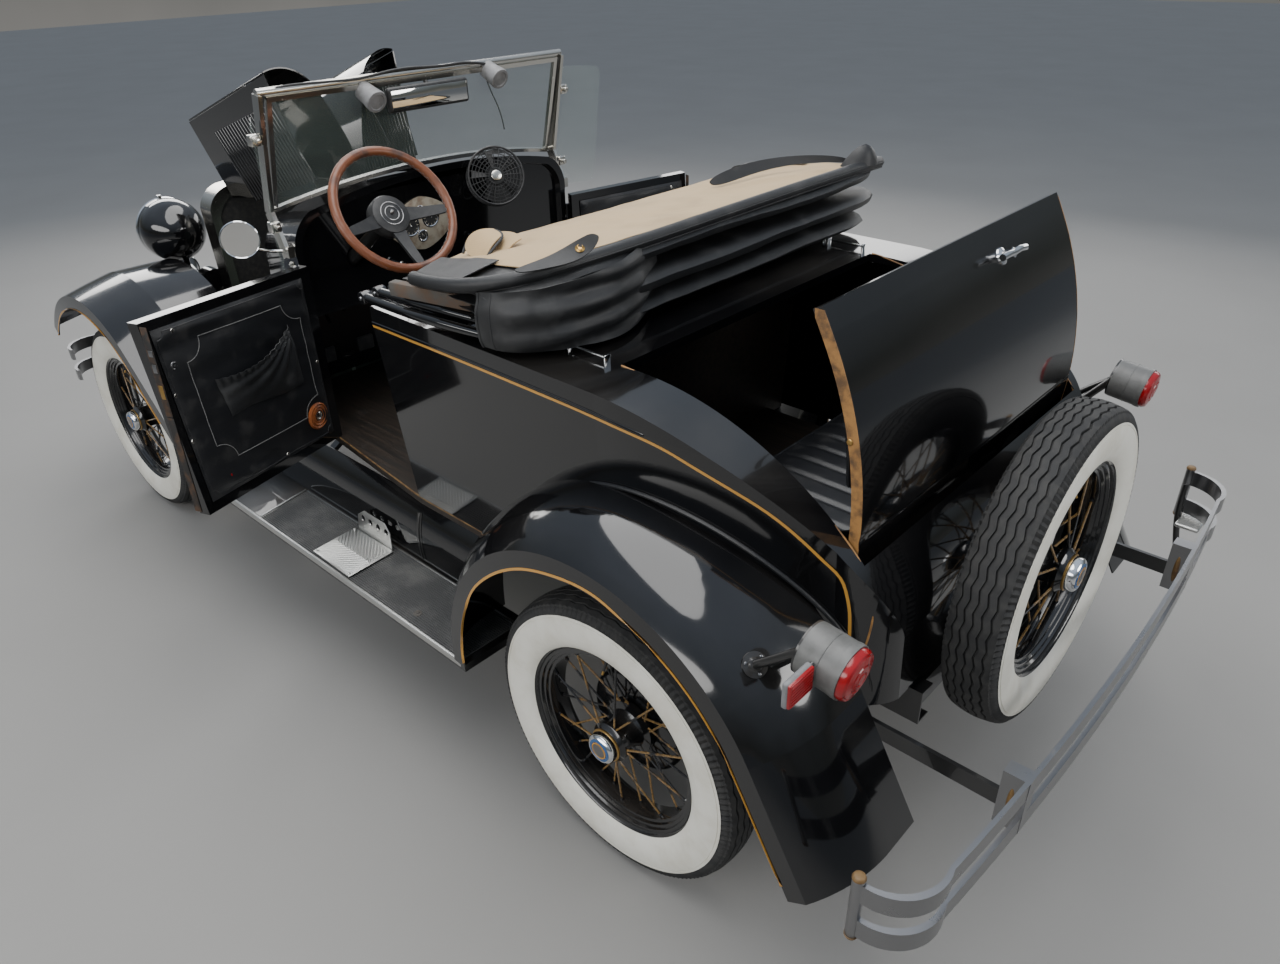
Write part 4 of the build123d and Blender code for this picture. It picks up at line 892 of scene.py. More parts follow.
topSet = {"half": 0.735, "left": 0.665, "thick": 0.0022, "sections": 72, "wrapHigh": 0.170,
          "wrap": [(0.256, 0.20, 0), (0.254, 0.34, 0), (0.262, 0.46, 0), (0.286, 0.555, 0), (0.330, 0.620, 0),
                   (0.385, 0.652, 0), (0.435, 0.660, 0)],
          "roll": [(0.312, -0.795, 1.404), (0.300, -0.70, 1.410), (0.296, -0.4, 1.413), (0.296, 0.0, 1.411),
                   (0.298, 0.35, 1.408), (0.312, 0.50, 1.404), (0.355, 0.600, 1.390), (0.44, 0.662, 1.371),
                   (0.55, 0.684, 1.356), (0.66, 0.672, 1.345)],
          "bow": [(0.770, 0.652, 1.281), (0.525, 0.600, 1.281), (0.525, 0.600, 1.316), (0.770, 0.652, 1.316)],
          "tab": [(0.345, 0.625, 1.412), (0.322, 0.575, 1.418), (0.304, 0.525, 1.424), (0.286, 0.485, 1.444),
                  (0.270, 0.462, 1.468)],
          "tabWidths": [0.022, 0.038, 0.052, 0.050, 0.024],
          "outerTab": [(0.655, 0.500, 1.352), (0.662, 0.480, 1.378), (0.655, 0.455, 1.398),
                       (0.640, 0.425, 1.402)],
          "innerTab": [(0.625, 0.462, 1.356), (0.630, 0.445, 1.378), (0.622, 0.420, 1.392),
                       (0.606, 0.395, 1.392)],
          "tabRim": [(0.706, 0.492, 1.352), (0.716, 0.470, 1.376), (0.700, 0.444, 1.396),
                     (0.664, 0.420, 1.403), (0.612, 0.432, 1.399), (0.602, 0.480, 1.380),
                     (0.606, 0.510, 1.354)],
          "peak": [(0.300, -0.700, 1.520), (0.385, -0.640, 1.404), (0.330, -0.775, 1.404),
                   (0.268, -0.745, 1.412), (0.285, -0.655, 1.412), (0.325, -0.70, 1.425)],
          "strap": [(0.355, -0.69, 1.420), (0.40, -0.645, 1.428), (0.475, -0.565, 1.428),
                    (0.525, -0.44, 1.422), (0.545, -0.33, 1.406), (0.555, -0.285, 1.398)],
          "strapWidths": [0.026, 0.030, 0.034, 0.040, 0.040, 0.020],
          "irons": [((0.915, 0.655, 1.238), (0.66, 0.664, 1.247), (0.44, 0.628, 1.241)),
                    ((0.870, 0.640, 1.257), (0.66, 0.642, 1.268), (0.44, 0.606, 1.263)),
                    ((0.820, 0.622, 1.274), (0.66, 0.626, 1.288), (0.46, 0.600, 1.286))]}
topRun = [(0.785, 1.286), (0.802, 1.300), (0.792, 1.318), (0.72, 1.341), (0.62, 1.366), (0.45, 1.389),
          (0.335, 1.400), (0.298, 1.398), (0.276, 1.385), (0.282, 1.370), (0.33, 1.362), (0.45, 1.350),
          (0.60, 1.334), (0.70, 1.320), (0.752, 1.311), (0.757, 1.300), (0.735, 1.293), (0.60, 1.304),
          (0.45, 1.319), (0.33, 1.331), (0.285, 1.333), (0.262, 1.320), (0.268, 1.303), (0.30, 1.294),
          (0.45, 1.286), (0.60, 1.279), (0.70, 1.274)]
curtainRun = [(0.70, 1.258), (0.55, 1.263), (0.40, 1.270), (0.325, 1.275), (0.286, 1.267), (0.274, 1.252),
              (0.290, 1.239), (0.36, 1.231), (0.50, 1.229), (0.62, 1.229)]
liningRun = [(0.792, 1.324), (0.72, 1.348), (0.62, 1.373), (0.45, 1.396), (0.345, 1.407)]
flapRun = [(0.80, 1.318), (0.775, 1.342), (0.70, 1.361), (0.60, 1.382), (0.50, 1.394)]


def settled(spot, y):
    # soft waves, a narrower front and the stack bent round its left end
    x, z = spot.x - rear, spot.z
    wave = 0.0065 * noise.noise(Vector((x * 4, y * 2.6, z * 9)))
    fine = 0.0026 * noise.noise(Vector((x * 15, y * 11, z * 21)))
    front = min(1, max(0, (x - 0.30) / 0.48))
    turn = min(1, max(0, (y - 0.41) / 0.255))
    under = min(1, max(0, (1.375 - z) / 0.09))
    behind = min(1, max(0, 1 - (x - 0.25) / 0.42))
    x += 0.135 * (1 - math.sqrt(1 - turn * turn)) * behind + wave * 0.8
    z = 1.315 + (z - 1.315) * (1 - 0.36 * turn * turn) - 0.022 * turn * turn + wave + fine
    right = min(1, max(0, (-y - 0.60) / 0.14))
    x += 0.03 * right * right * behind
    if y > 0.25:
        y -= (y - 0.25) / 0.41 * (0.02 + 0.085 * under) * front
    return at(x, y, z)


def clothRun(name, run, low, high, material, slot, lift=0.0):
    profile = smoothRun([at(x, 0, z + lift) for x, z in run], 0.014)
    count = max(6, round((high - low) / (2 * topSet["half"]) * topSet["sections"]))
    points = []
    for j in range(count + 1):
        y = low + (high - low) * j / count
        points += [settled(spot, y) for spot in profile]
    cloth = meshPiece(points, [], gridFaces(count, len(profile) - 1))
    modified(cloth, "SOLIDIFY", thickness=topSet["thick"], offset=0)
    inked(cloth, material)
    cloth = piece(name, [rightOut(cloth)], None, "car", slot, angle=60)
    runLength(profile)
    return cloth


def addWrap():
    # the quarter of the cover that wraps the left end of the stack, open towards the irons
    path = smoothRun(spots(topSet["wrap"]), 0.012)
    rows = 16
    points = []
    for i, place in enumerate(path):
        u = i / (len(path) - 1)
        ahead = (path[min(i + 1, len(path) - 1)] - path[max(i - 1, 0)]).normalized()
        outward = Vector((-ahead.y, ahead.x, 0))
        low, high = 1.229 + 0.004 * u, 1.404 - 0.046 * u * u
        for j in range(rows + 1):
            v = j / rows
            bulge = 0.013 * math.sin(math.pi * v)
            crease = 0.0075 * math.sin((v - 0.3) * (26 - 15 * u) + u * 4) * math.sin(math.pi * u) ** 0.8
            hide = -0.090 * max(0, 1 - u / 0.46) ** 1.6
            wave = crease + 0.005 * noise.noise(Vector((u * 7, v * 4 + u * 6, 2.0)))
            spot = Vector((place.x, place.y, low + (high - low) * v))
            points.append(spot + outward * (bulge + hide + wave + 0.004))
    width = rows + 1
    faces = [(i * width + j, (i + 1) * width + j, (i + 1) * width + j + 1, i * width + j + 1)
             for i in range(len(path) - 1) for j in range(rows)]
    wrap = meshPiece(points, [], faces)
    modified(wrap, "SOLIDIFY", thickness=topSet["thick"], offset=0)
    last, seam = (len(path) - 1) * width, (len(path) - 4) * width
    edges = [tube([points[last + j] for j in range(width)], 0.0042),
             tube([points[seam + j] for j in range(width)], 0.0024)]
    wrap = piece("top_quarter_wrap", [inked(rightOut(wrap), leatherCloth)], None, "car", "top_cloth",
                 angle=60)
    piece("top_quarter_piping", edges, leatherCloth, "car", "top_cloth")
    runLength(path)


def ribbon(points, widths, across, thickness=0.003):
    across = Vector(across).normalized()
    rows = []
    for point, width in zip(points, widths):
        rows += [Vector(point) + across * width / 2, Vector(point), Vector(point) - across * width / 2]
    faces = []
    for i in range(len(points) - 1):
        faces += [(3 * i, 3 * i + 1, 3 * i + 4, 3 * i + 3), (3 * i + 1, 3 * i + 2, 3 * i + 5, 3 * i + 4)]
    band = meshPiece(rows, [], faces)
    modified(band, "SUBSURF", levels=2, render_levels=2)
    modified(band, "SOLIDIFY", thickness=thickness, offset=0)
    return rightOut(band)


def strapSheet(points, widths):
    # a strap is cut to its widest width and tapered; this works out its tapered area from lengths and widths,
    # and the area is not kept
    steps = [(Vector(b) - Vector(a)).length for a, b in zip(points, points[1:])]
    area = sum(step * (a + b) / 2 for step, a, b in zip(steps, widths, widths[1:]))


def addTop():
    half = topSet["half"]
    cover = clothRun("top_cover", topRun, -half, topSet["left"], leatherCloth, "top_cloth")
    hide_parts("folded_top")
    clothRun("top_rear_curtain", curtainRun, -half + 0.05, topSet["left"] - 0.04, leatherCloth, "top_cloth")
    clothRun("top_lining", liningRun, -half + 0.03, 0.555, tanCanvas, "top_cloth", lift=0.001)
    clothRun("top_flap_left", flapRun, 0.545, topSet["left"] + 0.015, leatherCloth, "top_cloth", lift=0.004)
    clothRun("top_flap_right", flapRun, -half - 0.01, -0.68, leatherCloth, "top_cloth", lift=0.004)
    roll = spots(topSet["roll"])
    parts = [tube(roll, 0.0165, sides=5), tube([p + Vector((-0.010, 0, -0.0135)) for p in roll], 0.0030),
             tube([p + Vector((0.0165, 0, 0.0035)) for p in roll], 0.0026),
             tube([p + Vector((-0.0168, 0, 0.001)) for p in roll], 0.0018)]
    piece("top_edge_roll", parts, leatherCloth, "car", "top_cloth")
    bow = plate(spots(topSet["bow"]), (-0.21, 0.978, 0), 0.026, 0.004)
    header = slab(at(0.742, -0.70, 1.284), at(0.782, 0.640, 1.304), 0.008)
    piece("header_bow", [bow, header], rustySteel, "car", "old_steel")
    addWrap()
    parts = []
    for side in (1, -1):
        for start, bend, end in topSet["irons"]:
            run = [at(x, side * y, z) for x, y, z in (start, bend, end)]
            parts.append(tube(smoothRun(run, 0.03), 0.0125, sides=4))
            for x, y, z in (start, end):
                parts.append(rod(at(x, side * (y - 0.014), z), at(x, side * (y + 0.014), z), 0.0165, sides=20,
                                 edge=0.002))
    piece("top_irons", parts, blackPaint, "car", "chassis_paint")
    bolts = [rod(at(x, side * (y + 0.013), z), at(x, side * (y + 0.018), z), 0.0060, 0.0045, 8, 0.001)
             for side in (1, -1) for start, bend, end in topSet["irons"] for x, y, z in (start, end)]
    piece("top_iron_bolts", bolts, dullSilver, "car", "nickel")
    run, widths = spots(topSet["tab"]), topSet["tabWidths"]
    tab = piece("top_strap_tab", [ribbon(run, widths, (0.75, 0.45, 0.25))], leatherCloth, "car", "top_cloth")
    strapSheet(run, widths)
    across = (0.97, -0.2, 0.1)
    corner = ribbon(spots(topSet["outerTab"]), [0.10, 0.11, 0.09, 0.05], across)
    inner = ribbon(spots(topSet["innerTab"]), [0.09, 0.10, 0.085, 0.05], across)
    rim = tube(spots(topSet["tabRim"]), 0.0035)
    parts = [inked(corner, tanCanvas), inked(inner, tanCanvas), inked(rim, leatherCloth)]
    piece("top_front_tabs", parts, None, "car", "top_cloth")
    snap = spun([(0, 0), (0.011, 0), (0.011, 0.002), (0.007, 0.0045), (0.0045, 0.0025), (0, 0.0025)],
                at(0.289, 0.492, 1.4415), (-0.45, 0.45, 0.77), 24)
    piece("top_strap_snap", [snap], brass, "car", "bright_metal")
    peak = meshPiece(spots(topSet["peak"]), [], [(0, 1, 5), (0, 5, 2), (0, 2, 3), (0, 3, 4), (0, 4, 1)])
    modified(peak, "SUBSURF", levels=2, render_levels=2)
    modified(peak, "SOLIDIFY", thickness=0.003, offset=0)
    piece("top_right_peak", [rightOut(peak)], leatherCloth, "car", "top_cloth")
    run, widths = spots(topSet["strap"]), topSet["strapWidths"]
    strap = piece("top_strap_right", [ribbon(run, widths, (0.62, 0.42, 0.66))], leatherCloth, "car",
                  "top_cloth")
    strapSheet(run, widths)


addTop()
print("folded top built")


# Doors

threadGrey = castFinish("thread_grey", (0.17, 0.17, 0.165), (0.09, 0.09, 0.09), rough=0.8, scale=300,
                        depth=0.0002)
speakerOrange = castFinish("speaker_brown", (0.30, 0.085, 0.02), (0.17, 0.045, 0.012), rough=0.4, scale=40,
                           depth=0.0003)
wornEdge = castFinish("worn_edge", (0.012, 0.011, 0.010), (0.075, 0.038, 0.018), rough=0.6, scale=38,
                      depth=0.0006)
doorSet = {"hinge": (1.447, 0.55), "open": 68.6, "low": 0.662, "high": 1.166, "near": 0.038, "far": 0.515,
           "speaker": (0.088, 0.740, 0.043), "lens": (0.436, 0.705), "pocketDeep": 0.165,
           "screws": ((0.46, 1.150), (0.508, 0.985), (0.508, 0.850), (0.230, 0.674), (0.046, 0.905)),
           "plates": ((0.985, 0.040, 0.0024), (1.060, 0.024, 0.0030), (1.105, 0.018, 0.0022))}


def doorFrame():
    turn = math.radians(doorSet["open"])
    return Vector((-math.cos(turn), math.sin(turn), 0)), Vector((-math.sin(turn), -math.cos(turn), 0))


def doorSpot(tree, s, z, lift):
    along, inward = doorFrame()
    start = at(doorSet["hinge"][0], doorSet["hinge"][1], z) + along * s + inward * 0.2
    place = tree.ray_cast(start, -inward)[0]
    if place is None:
        place = start - inward * 0.2
    return place + inward * lift


def wrinkle(s, z):
    # padding under the card, pulled into folds near its edges
    edge = min(s - doorSet["near"], doorSet["far"] - s, z - doorSet["low"], doorSet["high"] - z)
    rise = 0.0035 * min(1, max(0.0, edge) / 0.02)
    close = math.exp(-((z - doorSet["high"]) / 0.07) ** 2) + math.exp(-((z - doorSet["low"]) / 0.05) ** 2)
    pull = noise.noise(Vector((s * 6 + z * 5, z * 24 - s * 5, 1.3))) * (0.0032 + 0.0090 * close)
    return 0.0030 + rise + pull * min(1, max(0.0, edge) / 0.012)


def addDoors():
    tree = skin("door_left")
    inward = doorFrame()[1]
    columns, rows = 56, 56
    points = []
    for j in range(rows + 1):
        z = doorSet["low"] + (doorSet["high"] - doorSet["low"]) * j / rows
        for i in range(columns + 1):
            s = doorSet["near"] + (doorSet["far"] - doorSet["near"]) * i / columns
            points.append(doorSpot(tree, s, z, wrinkle(s, z)))
    card = meshPiece(points, [], gridFaces(rows, columns))
    modified(card, "SOLIDIFY", thickness=0.002, offset=0)
    card = inked(rightOut(card), blackVinyl)
    pocket = doorPocket(tree)
    outline = scalloped((0.075, 0.450), (0.752, 1.112), 0.055)
    seams = [inked(tube([doorSpot(tree, s, z, wrinkle(s, z) + 0.0012) for s, z in outline], 0.0011,
                        closed=True, bends=False), threadGrey)]
    border = scalloped((0.046, 0.507), (0.672, 1.157), 0.020)
    seams.append(inked(tube([doorSpot(tree, s, z, wrinkle(s, z) + 0.0010) for s, z in border], 0.0016,
                            closed=True, bends=False), blackVinyl))
    s, z, radius = doorSet["speaker"]
    centre = doorSpot(tree, s, z, 0.004)
    speaker = [inked(spun([(0, 0), (radius, 0), (radius, 0.004), (radius * 0.88, 0.008),
                           (radius * 0.78, 0.005), (radius * 0.66, 0.008), (radius * 0.56, 0.005),
                           (radius * 0.44, 0.007), (radius * 0.36, 0.004), (0, 0.004)], centre, inward, 48),
                     speakerOrange),
               inked(spun([(0, 0.003), (radius * 0.34, 0.003), (radius * 0.32, 0.007), (radius * 0.22, 0.009),
                           (radius * 0.16, 0.007), (0, 0.010)], centre, inward, 32), nickel)]
    screws = []
    for s, z in doorSet["screws"]:
        spot = doorSpot(tree, s, z, wrinkle(s, z))
        screws.append(inked(spun([(0, 0), (0.0062, 0), (0.0055, 0.0018), (0.003, 0.0026), (0, 0.002)], spot,
                                 inward, 16),
                            nickel))
    spot = doorSpot(tree, 0.486, 1.062, 0.006)
    screws.append(inked(hoop(spot, inward, 0.009, 0.0022, 24, 8), dullSilver))
    screws.append(inked(rod(spot - inward * 0.004, spot + inward * 0.008, 0.004, sides=4), dullSilver))
    s, z = doorSet["lens"]
    spot = doorSpot(tree, s, z, 0.003)
    lens = inked(ball(spot, (0.007, 0.007, 0.014), 10), redLens)
    edge = doorEdge(tree)
    handle = doorHandle(tree)
    left = {"door_card": ([card], "black_vinyl"), "door_pocket": ([pocket], "black_vinyl"),
            "door_stitching": (seams, "black_vinyl"), "door_speaker": (speaker, "brown_rim"),
            "door_screws": (screws, "nickel"), "door_lens": ([lens], "bright_metal"),
            "door_edge": (edge, "old_steel"), "door_handle": (handle, "bright_metal")}
    for name, (parts, slot) in left.items():
        whole = piece(f"{name}_left", parts, None, "door_left", slot)
        name == "door_pocket"
        other = twin(whole)
        other.parent = None
        other.matrix_world = Matrix.Identity(4)
        other.name = other.data.name = f"{name}_right"
        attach(other, "door_right")
        name == "door_pocket"


def scalloped(span, heights, bite):
    # a rectangle whose corners are scooped inwards
    (near, far), (low, high) = span, heights
    outline = []
    for s, z, start in ((near, low, 0), (far, low, 90), (far, high, 180), (near, high, 270)):
        for k in range(9):
            turn = math.radians(start + 90 - 90 * k / 8)
            outline.append((s + bite * math.cos(turn), z + bite * math.sin(turn)))
    filled = []
    for a, b in zip(outline, outline[1:] + outline[:1]):
        count = max(1, round(math.dist(a, b) / 0.02))
        filled += [(a[0] + (b[0] - a[0]) * k / count, a[1] + (b[1] - a[1]) * k / count) for k in range(count)]
    return filled


def doorPocket(tree):
    # a gathered map pocket hanging from an elastic band
    columns, rows = 60, 30
    points = []
    for j in range(rows + 1):
        b = j / rows
        for i in range(columns + 1):
            a = i / columns
            top = (0.392 - 0.270 * a, 0.985 + 0.068 * a - 0.026 * math.sin(math.pi * a))
            bottom = (0.374 - 0.262 * a, 0.866 + 0.006 * math.sin(2 * math.pi * a))
            s, z = top[0] + (bottom[0] - top[0]) * b, top[1] + (bottom[1] - top[1]) * b
            swellOut = math.sin(math.pi * a) ** 0.5 * (1 - b) ** 0.6 * 0.024
            turn = math.atan2(b + 0.04, 1.06 - a)
            folds = 0.0042 * math.sin(turn * 19) * math.sin(math.pi * min(1, b + 0.12)) * (0.35 + 0.65 * a)
            pucker = 0.0028 * math.sin(a * 75) * math.exp(-(b / 0.16) ** 2)
            points.append(doorSpot(tree, s, z, 0.0085 + swellOut + folds + pucker))
    pocket = meshPiece(points, [], gridFaces(rows, columns))
    modified(pocket, "SOLIDIFY", thickness=0.002, offset=0)
    return inked(rightOut(pocket), leatherCloth)


def doorEdge(tree):
    # the worn free edge with its latch and striker
    along, inward = doorFrame()
    parts = []
    hinge = at(*doorSet["hinge"], 0)
    far = max((vertex.co - hinge).to_2d().dot(along.to_2d()) for vertex in nodes["door_left"].data.vertices)
    tip = hinge + along * (far + 0.0006)
    base = Vector((tip.x, tip.y, 0))
    face = doorSpot(tree, far - 0.012, 0.9, 0)
    depth = (face - base).dot(inward)
    for low, high in ((0.636, 0.930), (0.934, 1.186)):
        quad = [base + inward * (depth - t) + Vector((0, 0, z)) for t, z in
                ((0.001, low), (0.024, low), (0.024, high), (0.001, high))]
        parts.append(inked(plate(quad, along, 0.0012, 0.0004), wornEdge))
    for (z, high, out), stuff in zip(doorSet["plates"], (brass, dullSilver, dullSilver)):
        quad = [base + inward * (depth - t) + Vector((0, 0, z + h)) for t, h in
                ((0.005, 0), (0.019, 0), (0.019, high), (0.005, high))]
        parts.append(inked(plate(quad, along, out, 0.0012), stuff))
    return parts


def doorHandle(tree):
    along, inward = doorFrame()
    base = at(doorSet["hinge"][0], doorSet["hinge"][1], 0.985) + along * 0.485 - inward * 0.2
    place = tree.ray_cast(base, inward)[0] or base + inward * 0.18
    boss = spun([(0, 0), (0.022, 0), (0.021, 0.004), (0.012, 0.008), (0.010, 0.028), (0, 0.030)], place,
                -inward, 32)
    grip = tube([place - inward * 0.026 + along * 0.006, place - inward * 0.030 - along * 0.03,
                 place - inward * 0.030 - along * 0.075, place - inward * 0.026 - along * 0.100], 0.0068)
    return [inked(boss, chrome), inked(grip, chrome)]


addDoors()
print("doors trimmed")


# Body lines: stripes, beads and border

bodyLines = {
    "belt": [(0.903, 1.163), (0.70, 1.166), (0.40, 1.166), (0.15, 1.163), (-0.05, 1.155), (-0.152, 1.130),
             (-0.298, 1.078), (-0.393, 1.018), (-0.464, 0.950), (-0.495, 0.877), (-0.508, 0.80),
             (-0.512, 0.70)],
    "border": [(0.150, 1.222), (0.043, 1.201), (-0.065, 1.189), (-0.218, 1.138), (-0.317, 1.085),
               (-0.412, 1.033), (-0.465, 0.988), (-0.500, 0.90), (-0.520, 0.80), (-0.530, 0.70)],
    "rearFender": [(0.432, 0.425), (0.400, 0.583), (0.352, 0.698), (0.234, 0.809), (0.096, 0.872),
                   (-0.082, 0.888), (-0.238, 0.799), (-0.365, 0.645), (-0.443, 0.509), (-0.535, 0.425)],
    "seam": {"centre": (-0.05, 0.51), "radius": 0.509, "from": 12, "to": 172},
}


def nearSkin(tree, run):
    return [tree.find_nearest(point)[:2] for point in run]


def lined(found, width, material, lift=0.0006):
    # a painted line: a thin ribbon lying on the skin
    points = []
    for i, (place, normal) in enumerate(found):
        ahead = found[min(i + 1, len(found) - 1)][0] - found[max(i - 1, 0)][0]
        side = ahead.cross(normal).normalized() * width / 2
        points += [place + side + normal * lift, place - side + normal * lift]
    faces = [(2 * i, 2 * i + 1, 2 * i + 3, 2 * i + 2) for i in range(len(found) - 1)]
    strip = meshPiece(points, [], faces)
    modified(strip, "SOLIDIFY", thickness=0.0006, offset=0)
    return inked(rightOut(strip), material)


def evened(found, times=4):
    # takes the small steps of a faceted skin out of a line
    places = [place.copy() for place, _ in found]
    turns = [normal.copy() for _, normal in found]
    for _ in range(times):
        innerPlaces = [(a + b * 2 + c) / 4 for a, b, c in zip(places, places[1:], places[2:])]
        innerTurns = [(a + b * 2 + c).normalized() for a, b, c in zip(turns, turns[1:], turns[2:])]
        places = [places[0], *innerPlaces, places[-1]]
        turns = [turns[0], *innerTurns, turns[-1]]
    return list(zip(places, turns))


def bothSides(name, parts, material, slot, body="car"):
    whole = piece(f"{name}_left", parts, material, body, slot)
    other = twin(whole)
    other.name = other.data.name = f"{name}_right"
    return whole


def addBodyLines():
    quarter, fenders, fronts = skin("quarter_panel_left"), skin("fenders_rear"), skin("fenders_front")
    run = smoothRun([at(x, 0.665 if x > -0.2 else 0.64, z) for x, z in bodyLines["belt"]], 0.015)
    belt = evened(nearSkin(quarter, run))
    bothSides("belt_stripe", [lined(belt, 0.0065, ochrePaint)], None, "body_paint")
    above = [(place + Vector((0, 0, 0.010)), normal) for place, normal in belt if place.x > rear - 0.05]
    bothSides("belt_bead", [tube([place + normal * 0.0005 for place, normal in above], 0.0026)], blackPaint,
              "body_paint")
    run = smoothRun([at(x, 0.519, z) for x, z in bodyLines["border"]], 0.02)
    border = evened(nearSkin(quarter, run))
    bothSides("rumble_border", [tube([place + normal * 0.0008 for place, normal in border], 0.0022)],
              edgeOchre, "body_paint")
    run = smoothRun([at(x, 0.846, z) for x, z in bodyLines["rearFender"]], 0.015)
    edge = evened(nearSkin(fenders, run))
    bothSides("rear_fender_stripe", [lined(edge, 0.0065, ochrePaint)], None, "body_paint")
    seam = bodyLines["seam"]
    run = []
    for k in range(60):
        turn = math.radians(seam["from"] + (seam["to"] - seam["from"]) * k / 59)
        x = seam["centre"][0] + seam["radius"] * math.cos(turn)
        z = seam["centre"][1] + seam["radius"] * math.sin(turn)
        place = quarter.ray_cast(at(x, 0.9, z), Vector((0, -1, 0)))[0]
        if place is not None and z > 0.60:
            run.append(place + Vector((0, 0.003, 0)))
    bothSides("fender_seam_bead", [tube(run, 0.0050)], blackVinyl, "body_paint")
    front = at(2.629, 0, 0.378)
    run = [front + Vector((0.475 * math.cos(math.radians(k)), 0.846, 0.475 * math.sin(math.radians(k))))
           for k in range(8, 166, 3)]
    edge = evened(nearSkin(fronts, run))
    bothSides("front_fender_stripe", [lined(edge, 0.0065, ochrePaint)], None, "body_paint")


addBodyLines()
print("body lines laid")


# Rumble lid, its edge, handle and the opening's fittings

lidSet = {"edge": 0.5095, "low": 0.800, "high": 1.452, "rows": 40, "handle": (-0.15, 1.395), "lever": 0.058,
          "strap": [(-0.285, 0.30, 1.40), (-0.262, 0.30, 1.385), (-0.255, 0.302, 1.33),
                    (-0.258, 0.300, 1.27)],
          "strapWidths": [0.028, 0.030, 0.030, 0.026], "restOut": 0.528, "restRear": 0.185,
          "restFront": 0.300}


def addLid():
    tree = skin("rumble_lid")
    rows = []
    for k in range(lidSet["rows"]):
        z = lidSet["low"] + (lidSet["high"] - lidSet["low"]) * k / (lidSet["rows"] - 1)
        back = tree.ray_cast(at(-0.8, lidSet["edge"] - 0.004, z), Vector((1, 0, 0)))[0]
        fore = tree.ray_cast(at(0.2, lidSet["edge"] - 0.004, z), Vector((-1, 0, 0)))[0]
        if back is not None and fore is not None:
            rows.append((back.x - 0.0006, fore.x + 0.0006, z))
    parts = []
    for side in (1, -1):
        y = side * (lidSet["edge"] + 0.0009)
        points = []
        for back, fore, z in rows:
            points += [Vector((back, y, z)), Vector((fore, y, z))]
        strip = meshPiece(points, [], [(2 * i, 2 * i + 1, 2 * i + 3,
                                        2 * i + 2) for i in range(len(rows) - 1)])
        modified(strip, "SOLIDIFY", thickness=0.0016, offset=0)
        parts.append(rightOut(strip))
    piece("lid_worn_edge", parts, edgeOchre, "rumble_lid", "body_paint")
    y, z = lidSet["handle"]
    place, normal = tree.ray_cast(at(-0.8, y, z), Vector((1, 0, 0)))[:2]
    boss = spun([(0, 0), (0.020, 0), (0.019, 0.004), (0.011, 0.008), (0.009, 0.026), (0.011, 0.030),
                 (0, 0.036)],
                place, normal, 32)
    out = place + normal * 0.030
    lever = tube([out + Vector((0, lidSet["lever"], 0.002)), out + Vector((0, 0.03, 0.003)), out,
                  out - Vector((0, 0.03, -0.003)), out - Vector((0, lidSet["lever"], 0.002))], 0.0078,
                 sides=4)
    piece("lid_handle", [boss, lever], chrome, "rumble_lid", "bright_metal")
    bolt = rod(at(-0.411, 0.5095, 1.22), at(-0.411, 0.5135, 1.22), 0.0075, 0.006, 16, 0.001)
    piece("lid_copper_bolt", [bolt], brass, "rumble_lid", "bright_metal")
    run, widths = spots(lidSet["strap"]), lidSet["strapWidths"]
    strap = piece("lid_check_strap", [ribbon(run, widths, (0, 1, 0))], leatherCloth, "rumble_lid",
                  "black_vinyl")
    strapSheet(run, widths)
    parts, back, fore = [], lidSet["restRear"], lidSet["restFront"]
    for side in (1, -1):
        y = side * lidSet["restOut"]
        for x in (fore, back):
            parts.append(slab(at(x - 0.0025, y - 0.009, 1.1965), at(x + 0.0025, y + 0.009, 1.236), 0.0012))
        parts.append(slab(at(back, y - 0.003, 1.226), at(fore, y + 0.003, 1.231), 0.0012))
        parts.append(rod(at(0.150, y, 1.190), at(0.150, y, 1.206), 0.0085, 0.0065, 20, 0.002))
        parts.append(rod(at(0.318, y, 1.200), at(0.318, y, 1.228), 0.005, 0.005, 12, 0.001))
    piece("bow_rests", parts, chrome, "car", "bright_metal")


addLid()
print("rumble lid trimmed")


# Windscreen fittings

greyMotor = castFinish("grey_motor", (0.20, 0.20, 0.205), (0.13, 0.13, 0.13), rough=0.5, scale=30,
                       depth=0.0004)
blackPlastic = castFinish("black_plastic", (0.012, 0.012, 0.0125), (0.022, 0.022, 0.022), rough=0.42,
                          scale=60, depth=0.0002)
screenSet = {"motors": ((1.425, 0.230, 1.622), (1.425, -0.238, 1.634)), "mirror": (1.405, 0.030, 1.603),
             "fan": (1.400, -0.186, 1.323), "fanRadius": 0.0925, "blades": 5, "guardRays": 24,
             "cable": [(1.462, 0.568, 1.560), (1.452, 0.560, 1.655), (1.450, 0.50, 1.678),
                       (1.448, 0.35, 1.672), (1.446, 0.24, 1.668), (1.448, 0.10, 1.684),
                       (1.446, -0.05, 1.673), (1.444, -0.16, 1.678), (1.442, -0.232, 1.662)],
             "rightWing": ((1.490, 0.598, 1.618), (1.478, 0.785, 1.602), (1.492, 0.738, 1.200),
                           (1.503, 0.556, 1.214)),
             "leftWing": ((1.482, 0.582, 1.612), (1.318, 0.668, 1.600), (1.345, 0.650, 1.205),
                          (1.500, 0.566, 1.216)),
             "wingCorner": 0.035, "clamps": ((1.545, 1.480, 0.584), (1.300, 1.496, 0.572))}


